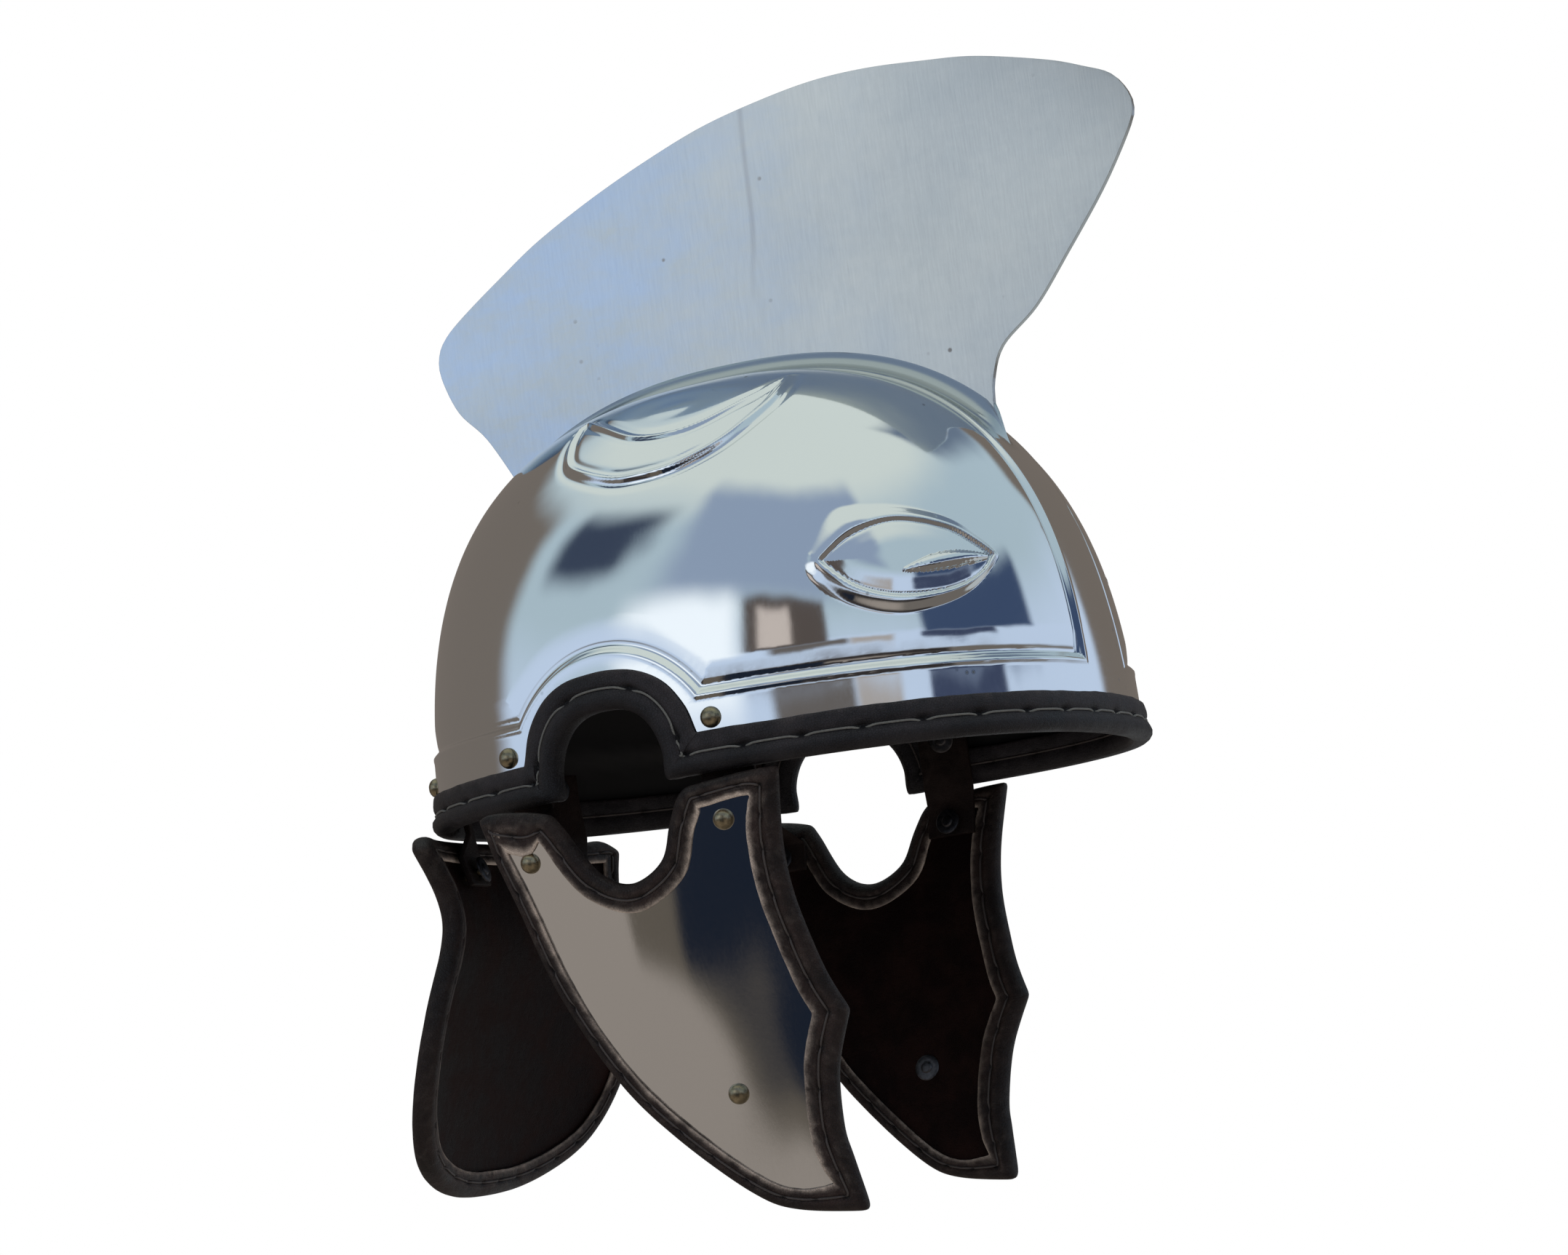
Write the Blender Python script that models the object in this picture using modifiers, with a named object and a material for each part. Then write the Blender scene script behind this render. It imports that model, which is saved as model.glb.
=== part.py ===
"""Late roman helmet: a pressed steel bowl with a tall comb, two hanging cheek pieces and a neck guard.

Metres, +Z up. The lower edge of the rim's leather lies in the plane z = 0 and the middle of the opening is
the origin. The face looks along -Y and the wearer's right side is at -X. The cheek pieces and the neck
guard are steel plates backed with leather, edged with a folded leather strip and hung on riveted straps.
"""

import math

import bmesh
import bpy
from mathutils import Matrix, Vector

# Bowl, outside of the steel
BOWL_HALF_LENGTH = 0.122
BOWL_HALF_WIDTH = 0.1076
BOWL_HEIGHT = 0.1445
PLAN_POWER = 2.36
BACK_TAPER = 0.127
SIDE_POWER_UP = 2.72
SIDE_POWER_OUT = 2.456
STEEL = 0.0012
PANEL_DEPTH = 0.0014
PANEL_RAMP = 0.003

# Raised bands that the side panels leave: over the crown, along the brow and round the ear
CROWN_BAND_HALF_WIDTH = 0.0215
CROWN_BAND_TAPER = 0.077
BROW_HEIGHT = 0.0265
EAR_Y = 0.0175
EAR_BAND_HALF_WIDTH = 0.045
EAR_BAND_HEIGHT = 0.0455
EAR_BAND_SINK = 0.004

# Ear opening, inside of the leather
EAR_HALF_WIDTH = 0.0215
EAR_HEIGHT = 0.026
EAR_POWER = 2.5

# Pressed ornament on each side panel
EYE_RIDGE_HALF_WIDTH = 0.0034
LEAF_RIDGE_HALF_WIDTH = 0.0032
RIDGE_HEIGHT = 0.0024

# Comb, a flat blade standing on the crown
COMB_LENGTH = 0.273
COMB_TOP = 0.2445
COMB_FRONT_Y = -0.159
COMB_THICKNESS = 0.0024
COMB_FOOT_RADIUS = 0.007
COMB_FOOT_FRONT_Y = -0.099
COMB_FOOT_BACK_Y = 0.086

# Leather and gaps
GAP = 0.0003
LAYER_GAP = 0.0005
EDGE_GAP = 0.0005
LINING_GAP = 0.0014
STRAP_CLEARANCE = 0.0016
STRAP_GAP = 0.0009
RIM_LEATHER = 0.0014
RIM_ROLL = 0.0009
RIM_LAP = 0.0132
EDGING = 0.0014
BACKING = 0.0018
PLATE = 0.0012
STRAP_WIDTH = 0.019
STRAP_THICKNESS = 0.002

# Cheek pieces: a sheet that leans in towards the chin
CHEEK_SIDE_X = 0.1151
CHEEK_TURN = 0.095
CHEEK_LEAN = 0.265
CHEEK_BEND = 1.97
CHEEK_BEND_FRONT_Y = -0.0435
CHEEK_BEND_BACK_Y = 0.0166
CHEEK_FRONT_Y = -0.0435
CHEEK_TOP_Z = -0.0012
CHEEK_WIDTH = 0.110
CHEEK_DROP = 0.143
CHEEK_LAP = 0.011

# Neck guard: a flared sheet behind the neck
NECK_HALF_WIDTH = 0.080
NECK_DROP = 0.1235
NECK_TOP_Z = -0.0018
NECK_TOP_Y = BOWL_HALF_LENGTH - 0.0015
NECK_BEND_RADIUS = 0.28
NECK_FLARE = 0.0205
NECK_LAP = 0.0085

# Rivets
HEAD_RADIUS = 0.0035
HEAD_HEIGHT = 0.003
SHANK_RADIUS = 0.0013
WASHER_RADIUS = 0.0047
WASHER_THICKNESS = 0.0008
RIVET_CLEARANCE = 0.0004
BOWL_RIVET_Z = 0.0174
BOWL_RIVET_FRONT_Y = -0.0221
BOWL_RIVET_BACK_Y = 0.0589
NECK_STRAP_X = 0.041
NECK_RIVET_Z = -0.016
CHEEK_RIVET_FRONT = (-0.0221, -0.0155)
CHEEK_RIVET_BACK = (0.0493, -0.0192)
CHEEK_RIVET_LOW = (-0.0053, -0.1021)

# How finely things are divided
BOWL_COLUMNS = 22
BOWL_ROWS = 8
LINING_COLUMNS = 16
LINING_ROWS = 11
OUTLINE_SPACING = 0.018
NECK_SPACING = 0.013
RIM_STEPS = 13
EAR_STEPS = 8
RIVET_SIDES = 6

# What follows from the sizes above
RIM_FLOOR = RIM_LEATHER + EDGE_GAP
STEEL_EDGE_Z = RIM_FLOOR
WALL = STEEL + PANEL_DEPTH
PLATE_TOP = EDGING + LAYER_GAP
BACKING_TOP = PLATE_TOP + PLATE + LAYER_GAP
STACK = BACKING_TOP + BACKING + LAYER_GAP + EDGING
RIM_INSIDE = WALL + LINING_GAP + RIM_LEATHER
STRAP_INSET = RIM_INSIDE + STRAP_CLEARANCE + STRAP_THICKNESS / 2
STRAP_BEHIND = STACK + STRAP_GAP + STRAP_THICKNESS / 2
STRAP_BACK = STRAP_BEHIND + STRAP_THICKNESS / 2

# Outline of the comb: back from its front, up from the rim as a share of its top, whether it is a corner
COMB_OUTLINE = (
    (0.170, 0.380, True),
    (0.236, 0.458, True),
    (0.234, 0.486, False),
    (0.230, 0.520, False),
    (0.212, 0.564, False),
    (0.161, 0.609, False),
    (0.110, 0.675, False),
    (0.062, 0.740, False),
    (0.033, 0.785, False),
    (0.007, 0.832, False),
    (0.000, 0.855, False),
    (0.004, 0.879, False),
    (0.022, 0.908, False),
    (0.055, 0.927, False),
    (0.103, 0.949, False),
    (0.194, 0.978, False),
    (0.267, 0.990, False),
    (0.342, 0.999, False),
    (0.418, 1.000, False),
    (0.498, 0.990, False),
    (0.579, 0.973, False),
    (0.659, 0.945, False),
    (0.745, 0.908, False),
    (0.831, 0.863, False),
    (0.892, 0.822, False),
    (0.952, 0.779, False),
    (0.984, 0.751, False),
    (0.998, 0.725, False),
    (0.998, 0.691, False),
    (0.978, 0.634, False),
    (0.941, 0.585, False),
    (0.899, 0.500, True),
    (0.820, 0.380, True),
)

# The raised ring on the side: bearing from the front in degrees, height as a share of the bowl's
EYE_RING = (
    (58.8, 0.422),
    (55.5, 0.491),
    (50.5, 0.526),
    (44.5, 0.528),
    (38.0, 0.505),
    (32.5, 0.460),
    (28.0, 0.408),
    (32.0, 0.349),
    (38.5, 0.313),
    (45.0, 0.303),
    (51.5, 0.318),
    (57.0, 0.367),
)

# The drop inside the ring, from its front corner back
EYE_DROP = (
    (30.5, 0.405),
    (34.0, 0.403),
    (38.0, 0.400),
    (42.5, 0.393),
    (46.0, 0.383),
)

# The leaf beside the comb: its outer edge and its inner edge, from the back to the front tip
LEAF_OUTER = (
    (129.0, 0.905),
    (120.4, 0.855),
    (113.0, 0.780),
    (100.3, 0.721),
    (90.5, 0.709),
    (80.1, 0.712),
    (70.2, 0.756),
    (61.6, 0.807),
    (55.6, 0.880),
    (52.2, 0.925),
)
LEAF_INNER = (
    (126.0, 0.925),
    (113.6, 0.895),
    (96.4, 0.833),
    (85.0, 0.819),
    (73.4, 0.833),
    (61.7, 0.875),
    (54.0, 0.915),
)

# Outline of a cheek piece: back and down as shares of its width and drop, lap share, corner
CHEEK_OUTLINE = (
    (0.995, 0.011, 1.00, True),
    (0.955, 0.001, 1.00, False),
    (0.825, 0.012, 1.00, False),
    (0.745, 0.027, 0.80, True),
    (0.717, 0.061, 0.80, False),
    (0.633, 0.170, 0.80, False),
    (0.528, 0.208, 0.80, False),
    (0.416, 0.170, 0.80, False),
    (0.364, 0.092, 0.80, False),
    (0.322, 0.037, 0.80, False),
    (0.288, 0.017, 0.68, True),
    (0.118, 0.003, 0.68, False),
    (0.003, 0.000, 0.90, True),
    (0.041, 0.164, 1.00, False),
    (0.045, 0.278, 1.00, False),
    (0.025, 0.387, 1.00, False),
    (0.001, 0.472, 1.00, False),
    (-0.038, 0.552, 1.00, True),
    (0.031, 0.674, 1.00, False),
    (0.059, 0.806, 1.00, False),
    (0.053, 0.877, 1.00, False),
    (0.036, 1.005, 0.80, True),
    (0.250, 0.982, 0.60, False),
    (0.375, 0.935, 0.60, False),
    (0.573, 0.792, 0.60, False),
    (0.725, 0.644, 0.60, False),
    (0.858, 0.429, 0.60, False),
    (0.925, 0.230, 0.60, False),
    (0.967, 0.112, 0.80, True),
)

# How far back the neck guard's middle stands, as a share of its flare, down from its top to its lowest
NECK_PROFILE = (
    (0.00, 0.00),
    (0.24, -0.33),
    (0.48, 0.04),
    (0.73, 0.52),
    (1.00, 1.00),
)
NECK_PROFILE_STEP = 0.06

# Half outline of the neck guard: out and down as shares of its half width and drop, corner
NECK_OUTLINE = (
    (0.00, 0.000, True),
    (0.50, 0.000, False),
    (0.88, -0.005, False),
    (0.97, 0.030, True),
    (0.90, 0.100, False),
    (0.85, 0.170, False),
    (0.845, 0.235, False),
    (0.880, 0.300, False),
    (0.950, 0.410, False),
    (1.000, 0.540, False),
    (0.995, 0.650, False),
    (0.945, 0.755, False),
    (0.850, 0.845, False),
    (0.720, 0.910, False),
    (0.520, 0.960, False),
    (0.270, 0.992, False),
    (0.00, 1.000, True),
)


def clear_scene():
    """Remove the objects that are already there."""
    for item in list(bpy.data.objects):
        bpy.data.objects.remove(item, do_unlink=True)


def new_collection(name):
    """A collection of that name, linked to the scene."""
    group = bpy.data.collections.new(name)
    bpy.context.scene.collection.children.link(group)
    return group


def new_material(name, colour, roughness, metallic):
    """A Principled material of one colour."""
    made = bpy.data.materials.new(name)
    made.use_nodes = True
    shader = made.node_tree.nodes["Principled BSDF"]
    shader.inputs["Base Color"].default_value = (*colour, 1.0)
    shader.inputs["Roughness"].default_value = roughness
    shader.inputs["Metallic"].default_value = metallic
    return made


FINISHES = {
    "steel": ((0.62, 0.64, 0.66), 0.16, 1.0),
    "rim_leather": ((0.035, 0.027, 0.026), 0.55, 0.0),
    "brown_leather": ((0.075, 0.042, 0.032), 0.6, 0.0),
    "brass": ((0.42, 0.36, 0.24), 0.35, 1.0),
}


def finish_object(name, mesh, finish, smooth_degrees=35):
    """Make a named object from a mesh, in the helmet's collection, with its own material."""
    made = bpy.data.objects.new(name, mesh)
    HELMET.objects.link(made)
    mesh.materials.clear()
    mesh.materials.append(new_material(name, *FINISHES[finish]))
    mesh.shade_smooth()
    mesh.set_sharp_from_angle(angle=math.radians(smooth_degrees))
    return made


def mesh_from(bm, name):
    """Close off a bmesh: faces out, triangles only, written to a new mesh."""
    bmesh.ops.recalc_face_normals(bm, faces=bm.faces)
    bmesh.ops.triangulate(bm, faces=bm.faces)
    mesh = bpy.data.meshes.new(name)
    bm.to_mesh(mesh)
    bm.free()
    return mesh


def add_boolean(target, other, operation):
    """Join another object to the target, or cut it out."""
    step = target.modifiers.new(other.name, "BOOLEAN")
    step.operation = operation
    step.object = other


def as_tool(made):
    """Keep a cutter or a joined form out of the finished model."""
    for group in made.users_collection:
        group.objects.unlink(made)
    TOOLS.objects.link(made)
    made.hide_render = True
    made.display_type = "WIRE"
    return made


def smooth_line(points, spacing):
    """Points about one spacing apart on a smooth curve through the given points."""
    line = []
    last = len(points) - 1
    for index in range(last):
        before = points[max(index - 1, 0)]
        here = points[index]
        after = points[index + 1]
        beyond = points[min(index + 2, last)]
        steps = max(1, round((after - here).length / spacing))
        for step in range(steps):
            t = step / steps
            line.append(
                0.5
                * (
                    2 * here
                    + (after - before) * t
                    + (2 * before - 5 * here + 4 * after - beyond) * t**2
                    + (3 * here - before - 3 * after + beyond) * t**3
                )
            )
    line.append(points[last].copy())
    return line


def smooth_outline(points, corners, spacing, closed=True):
    """An outline that runs smoothly from one corner to the next."""
    count = len(points)
    start = corners.index(True)
    order = [(start + step) % count for step in range(count)]
    if closed:
        order.append(start)
    line = []
    stretch = []
    for index in order:
        stretch.append(points[index])
        if corners[index] and len(stretch) > 1:
            line += smooth_line(stretch, spacing)[:-1]
            stretch = [points[index]]
    if not closed:
        line.append(points[order[-1]].copy())
    return line


def plan_level(x, y, inset=0.0):
    """Size of the bowl's plan curve through a point, 1 on the curve at the rim."""
    half_width = BOWL_HALF_WIDTH - inset
    half_length = BOWL_HALF_LENGTH - inset
    along = abs(y) / half_length
    level = (abs(x / half_width) ** PLAN_POWER + along**PLAN_POWER) ** (1 / PLAN_POWER)
    if level == 0:
        return 0.0
    for _ in range(3):
        back = math.copysign(min(1.0, along / level) ** (PLAN_POWER / 2), y)
        across = abs(x) / (half_width * (1 - BACK_TAPER * back))
        level = (across**PLAN_POWER + along**PLAN_POWER) ** (1 / PLAN_POWER)
    return level


def bowl_level(point, inset=0.0):
    """1 on the bowl's surface, less inside it. Below the rim the walls go straight down."""
    up = max(point.z, 0.0) / (BOWL_HEIGHT - inset)
    return plan_level(point.x, point.y, inset) ** SIDE_POWER_OUT + up**SIDE_POWER_UP


def on_bowl(start, direction, inset=0.0):
    """Where a ray from inside the bowl meets its surface."""
    near = 0.0
    far = 2 * BOWL_HEIGHT
    for _ in range(26):
        middle = (near + far) / 2
        if bowl_level(start + direction * middle, inset) < 1:
            near = middle
        else:
            far = middle
    return start + direction * near


def bowl_at(bearing, height_share, inset=0.0):
    """A point of the bowl at a bearing from the front, towards the wearer's right, and at a height."""
    turn = math.radians(bearing)
    start = Vector((0.0, 0.0, height_share * BOWL_HEIGHT))
    return on_bowl(start, Vector((-math.sin(turn), -math.cos(turn), 0.0)), inset)


def bowl_normal(point):
    """The outward normal of the bowl at a point."""
    tiny = 0.0002
    slope = Vector()
    for axis in range(3):
        shift = Vector()
        shift[axis] = tiny
        slope[axis] = bowl_level(point + shift) - bowl_level(point - shift)
    return slope.normalized()


def wall_at(y, z, inset=0.0, side=-1):
    """A point of the bowl's side wall at a place along Y and a height."""
    return on_bowl(Vector((0.0, y, z)), Vector((side, 0.0, 0.0)), inset)


def ear_band_radius(turn):
    """Distance of the ear band's edge from the ear's middle, at a turn from the front over the top."""
    low, high = 0.0, 2 * EAR_BAND_HEIGHT
    centre_z = STEEL_EDGE_Z
    for _ in range(24):
        middle = (low + high) / 2
        across = middle * math.cos(turn) / EAR_BAND_HALF_WIDTH
        up = (centre_z + middle * math.sin(turn) + EAR_BAND_SINK) / (EAR_BAND_HEIGHT + EAR_BAND_SINK)
        if across**2 + up**2 < 1:
            low = middle
        else:
            high = middle
    return low


def ear_turn(centre, forward, radius, inset):
    """How far a ray leans out to the side when it meets the bowl at a radius round the ear's middle."""
    low, high = 0.0, math.pi / 2
    for _ in range(22):
        lean = (low + high) / 2
        ray = Vector((-math.sin(lean), 0.0, 0.0)) + forward * math.cos(lean)
        hit = on_bowl(centre, ray, inset) - centre
        if hit.dot(forward) > radius:
            low = lean
        else:
            high = lean
    return low


def hood(columns, rows, floor_z, inset, ear_band):
    """A closed dome gridded like a hood that folds about the ears, from the front rim to the back rim."""
    centre = Vector((0.0, EAR_Y, floor_z))
    bm = bmesh.new()
    extra = 3 if ear_band else 1
    per_side = rows + extra
    bmesh.ops.create_grid(bm, x_segments=columns, y_segments=2 * per_side, size=0.5)
    bm.verts.ensure_lookup_table()
    leans = []
    for column in range(columns + 1):
        turn = math.pi * column / columns
        forward = Vector((0.0, -math.cos(turn), math.sin(turn)))
        if ear_band:
            edge = ear_band_radius(turn)
            outer = ear_turn(centre, forward, edge + PANEL_RAMP / 2, inset)
            inner = ear_turn(centre, forward, edge - PANEL_RAMP / 2, inset)
            row_leans = [outer * row / rows for row in range(rows + 1)]
            row_leans += [inner, (inner + math.pi / 2) / 2, math.pi / 2]
        else:
            row_leans = [math.pi / 2 * row / per_side for row in range(per_side + 1)]
        leans.append(row_leans)
    for vert in bm.verts:
        column = round((vert.co.x + 0.5) * columns)
        row = round(vert.co.y * 2 * per_side)
        turn = math.pi * column / columns
        lean = math.copysign(leans[column][abs(row)], row)
        ray = Vector((math.sin(lean), 0.0, 0.0))
        ray += Vector((0.0, -math.cos(turn), math.sin(turn))) * math.cos(lean)
        vert.co = on_bowl(centre, ray, inset)
        if column in (0, columns):
            vert.co.z = floor_z
    bmesh.ops.remove_doubles(bm, verts=bm.verts, dist=0.0001)
    rim = [edge for edge in bm.edges if edge.is_boundary]
    bmesh.ops.holes_fill(bm, edges=rim, sides=0)
    return bm


def cut_line(bm, point, normal):
    """Draw an edge line round the mesh where a plane meets it."""
    everything = bm.verts[:] + bm.edges[:] + bm.faces[:]
    bmesh.ops.bisect_plane(bm, geom=everything, plane_co=point, plane_no=normal, dist=0.0005)


def crown_band_edge(z):
    """Half width of the raised band over the crown at a height."""
    return CROWN_BAND_HALF_WIDTH - CROWN_BAND_TAPER * (z - BROW_HEIGHT)


def share_past(value, edge, ramp):
    """0 before an edge, 1 past it, with a straight ramp between."""
    return min(1.0, max(0.0, (value - edge) / ramp + 0.5))


def panel_share(point):
    """1 in the pressed side panels, 0 on the bands round them."""
    past_crown = share_past(abs(point.x), crown_band_edge(point.z), PANEL_RAMP)
    past_brow = share_past(point.z, BROW_HEIGHT, PANEL_RAMP)
    arm = Vector((0.0, point.y - EAR_Y, max(point.z - STEEL_EDGE_Z, 0.0)))
    turn = math.atan2(arm.z, -arm.y)
    past_ear = share_past(arm.length, ear_band_radius(turn), PANEL_RAMP)
    return min(past_crown, past_brow, past_ear)


def foot_rise(point):
    """Height of the comb's flared foot over the bowl beside the blade."""
    beside = max(abs(point.x) - COMB_THICKNESS / 2, 0.0)
    if beside >= COMB_FOOT_RADIUS or point.z < BROW_HEIGHT:
        return 0.0
    hollow = COMB_FOOT_RADIUS - beside
    rise = COMB_FOOT_RADIUS - math.sqrt(COMB_FOOT_RADIUS**2 - hollow**2)
    from_end = min(point.y - COMB_FOOT_FRONT_Y, COMB_FOOT_BACK_Y - point.y)
    return rise * min(1.0, max(0.0, from_end / COMB_FOOT_RADIUS))


def bowl_outside():
    """The bowl's outer form with its bands, side panels and the comb's foot, as a closed solid."""
    bm = hood(BOWL_COLUMNS, BOWL_ROWS, STEEL_EDGE_Z, 0.0, True)
    foot_shares = (0.25, 1.0)
    lines = [COMB_THICKNESS / 2 + COMB_FOOT_RADIUS * share for share in foot_shares]
    lines.append(COMB_THICKNESS * 0.4)
    for side in (-1, 1):
        for beside in lines:
            cut_line(bm, Vector((side * beside, 0.0, 0.0)), Vector((1.0, 0.0, 0.0)))
        for offset in (-PANEL_RAMP / 2, PANEL_RAMP / 2):
            edge = Vector((side * (crown_band_edge(0.0) + offset), 0.0, 0.0))
            cut_line(bm, edge, Vector((side, 0.0, CROWN_BAND_TAPER)))
    for offset in (-PANEL_RAMP / 2, PANEL_RAMP / 2):
        cut_line(bm, Vector((0.0, 0.0, BROW_HEIGHT + offset)), Vector((0.0, 0.0, 1.0)))
    bmesh.ops.dissolve_degenerate(bm, edges=bm.edges, dist=0.0002)
    for vert in bm.verts:
        if vert.co.z > STEEL_EDGE_Z + GAP:
            out = bowl_normal(vert.co)
            vert.co += out * (foot_rise(vert.co) - PANEL_DEPTH * panel_share(vert.co))
    return finish_object("skull", mesh_from(bm, "skull"), "steel")


def bowl_hollow():
    """The head's hollow, a plain dome inside the side panels."""
    bm = hood(LINING_COLUMNS, LINING_ROWS, -STEEL_EDGE_Z, WALL, False)
    return as_tool(finish_object("hollow", mesh_from(bm, "hollow"), "steel"))


def ear_arch(y_centre, half_width, height, count):
    """Points over an ear opening from its front foot to its back foot, as along Y and up."""
    points = []
    for step in range(count + 1):
        turn = math.pi * step / count
        across = math.copysign(abs(math.cos(turn)) ** (2 / EAR_POWER), -math.cos(turn))
        up = math.sin(turn) ** (2 / EAR_POWER)
        points.append(Vector((y_centre + half_width * across, height * up)))
    return points


def ear_cutter():
    """A bar across both ear openings of the steel."""
    grow = RIM_FLOOR + EDGE_GAP
    arch = ear_arch(EAR_Y, EAR_HALF_WIDTH + grow, EAR_HEIGHT + grow, 14)
    below = Vector((0.0, -2 * BROW_HEIGHT))
    outline = [arch[0] + below] + arch + [arch[-1] + below]
    return as_tool(prism("ear_cutter", outline, 2 * BOWL_HALF_LENGTH, "steel"))


def prism(name, outline, thickness, finish):
    """A flat outline in the Y and Z plane, thick along X, as a filled curve turned into a mesh."""
    curve = bpy.data.curves.new(name, "CURVE")
    curve.dimensions = "2D"
    curve.fill_mode = "BOTH"
    curve.extrude = thickness / 2
    line = curve.splines.new("POLY")
    line.points.add(len(outline) - 1)
    for point, place in zip(line.points, outline):
        point.co = (place[0], place[1], 0.0, 1.0)
    line.use_cyclic_u = True
    holder = bpy.data.objects.new(name + "_curve", curve)
    TOOLS.objects.link(holder)
    bpy.context.view_layer.update()
    evaluated = holder.evaluated_get(bpy.context.evaluated_depsgraph_get())
    mesh = bpy.data.meshes.new_from_object(evaluated)
    bpy.data.objects.remove(holder, do_unlink=True)
    bm = bmesh.new()
    bm.from_mesh(mesh)
    bpy.data.meshes.remove(mesh)
    bmesh.ops.remove_doubles(bm, verts=bm.verts, dist=0.00001)
    upright = Matrix(((0, 0, 1, 0), (1, 0, 0, 0), (0, 1, 0, 0), (0, 0, 0, 1)))
    bmesh.ops.transform(bm, matrix=upright, verts=bm.verts)
    return finish_object(name, mesh_from(bm, name), finish)


def comb_blade():
    """The comb's flat blade, its lower edge inside the bowl's crown."""
    points = []
    corners = []
    for back, up, corner in COMB_OUTLINE:
        points.append(Vector((COMB_FRONT_Y + back * COMB_LENGTH, up * COMB_TOP)))
        corners.append(corner)
    outline = smooth_outline(points, corners, 3 * OUTLINE_SPACING)
    return as_tool(prism("comb", outline, COMB_THICKNESS, "steel"))


def loft(rings, closed):
    """A bmesh skinned over rings of points, closed in a loop or capped at its ends."""
    bm = bmesh.new()
    loops = [[bm.verts.new(point) for point in ring] for ring in rings]
    size = len(rings[0])
    pairs = list(zip(loops, loops[1:]))
    if closed:
        pairs.append((loops[-1], loops[0]))
    for first, second in pairs:
        for index in range(size):
            following = (index + 1) % size
            bm.faces.new((first[index], first[following], second[following], second[index]))
    if not closed:
        bm.faces.new(loops[0])
        bm.faces.new(reversed(loops[-1]))
    return bm


def ridge(name, table, half_width, closed, side):
    """A raised ridge pressed out of a side panel along a line of bearings and heights."""
    points = [bowl_at(bearing, share, PANEL_DEPTH) for bearing, share in table]
    count = len(points)
    rings = []
    for index, point in enumerate(points):
        before = points[(index - 1) % count] if closed or index else point
        after = points[(index + 1) % count] if closed or index < count - 1 else point
        normal = bowl_normal(point)
        across = normal.cross((after - before).normalized()).normalized()
        taper = 1.0 if closed else 0.35 + 0.65 * math.sin(math.pi * (index + 0.5) / count)
        wide = across * half_width * taper
        high = normal * RIDGE_HEIGHT * taper
        deep = -normal * STEEL * 0.4
        rings.append(
            (
                point - wide + deep,
                point - wide * 0.5 + high * 0.75,
                point + high,
                point + wide * 0.5 + high * 0.75,
                point + wide + deep,
            )
        )
    if side > 0:
        rings = [[Vector((-p.x, p.y, p.z)) for p in ring] for ring in rings]
    bm = loft(rings, closed)
    return as_tool(finish_object(name, mesh_from(bm, name), "steel"))


def peg_cutter(name, place, axis, radius, reach):
    """A round cutter through a rivet's place."""
    bm = bmesh.new()
    bmesh.ops.create_cone(
        bm,
        cap_ends=True,
        segments=RIVET_SIDES,
        radius1=radius,
        radius2=radius,
        depth=2 * reach,
    )
    turn = axis.to_track_quat("Z", "Y").to_matrix().to_4x4()
    bmesh.ops.transform(bm, matrix=Matrix.Translation(place) @ turn, verts=bm.verts)
    return as_tool(finish_object(name, mesh_from(bm, name), "steel"))


def rivet(name, face, axis, grip):
    """A domed rivet on a face, its shank through the pieces it holds and a washer behind them."""
    profile = (
        (0.0, HEAD_HEIGHT),
        (HEAD_RADIUS * 0.7, HEAD_HEIGHT * 0.72),
        (HEAD_RADIUS, 0.0),
        (SHANK_RADIUS, 0.0),
        (SHANK_RADIUS, -grip),
        (WASHER_RADIUS, -grip),
        (WASHER_RADIUS, -grip - WASHER_THICKNESS),
        (0.0, -grip - WASHER_THICKNESS),
    )
    mesh = bpy.data.meshes.new(name)
    points = [(radius, 0.0, up) for radius, up in profile]
    mesh.from_pydata(points, [(i, i + 1) for i in range(len(points) - 1)], [])
    made = bpy.data.objects.new(name, mesh)
    HELMET.objects.link(made)
    mesh.materials.append(new_material(name, *FINISHES["brass"]))
    turned = made.modifiers.new("turned", "SCREW")
    turned.steps = RIVET_SIDES
    turned.render_steps = RIVET_SIDES
    turned.use_merge_vertices = True
    turned.merge_threshold = 0.00001
    made.rotation_mode = "QUATERNION"
    made.rotation_quaternion = axis.to_track_quat("Z", "Y")
    made.location = face
    return made


def inset_outline(outline, distances):
    """The outline moved inwards by a distance at each point, mitred at corners."""
    count = len(outline)
    area = sum(
        outline[i].x * outline[(i + 1) % count].y - outline[(i + 1) % count].x * outline[i].y
        for i in range(count)
    )
    inward = 1 if area > 0 else -1
    moved = []
    for index, point in enumerate(outline):
        before = (point - outline[index - 1]).normalized()
        after = (outline[(index + 1) % count] - point).normalized()
        first = Vector((-before.y, before.x)) * inward
        second = Vector((-after.y, after.x)) * inward
        miter = (first + second).normalized()
        reach = distances[index] / max(0.5, miter.dot(first))
        moved.append(point + miter * reach)
    return moved


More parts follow.
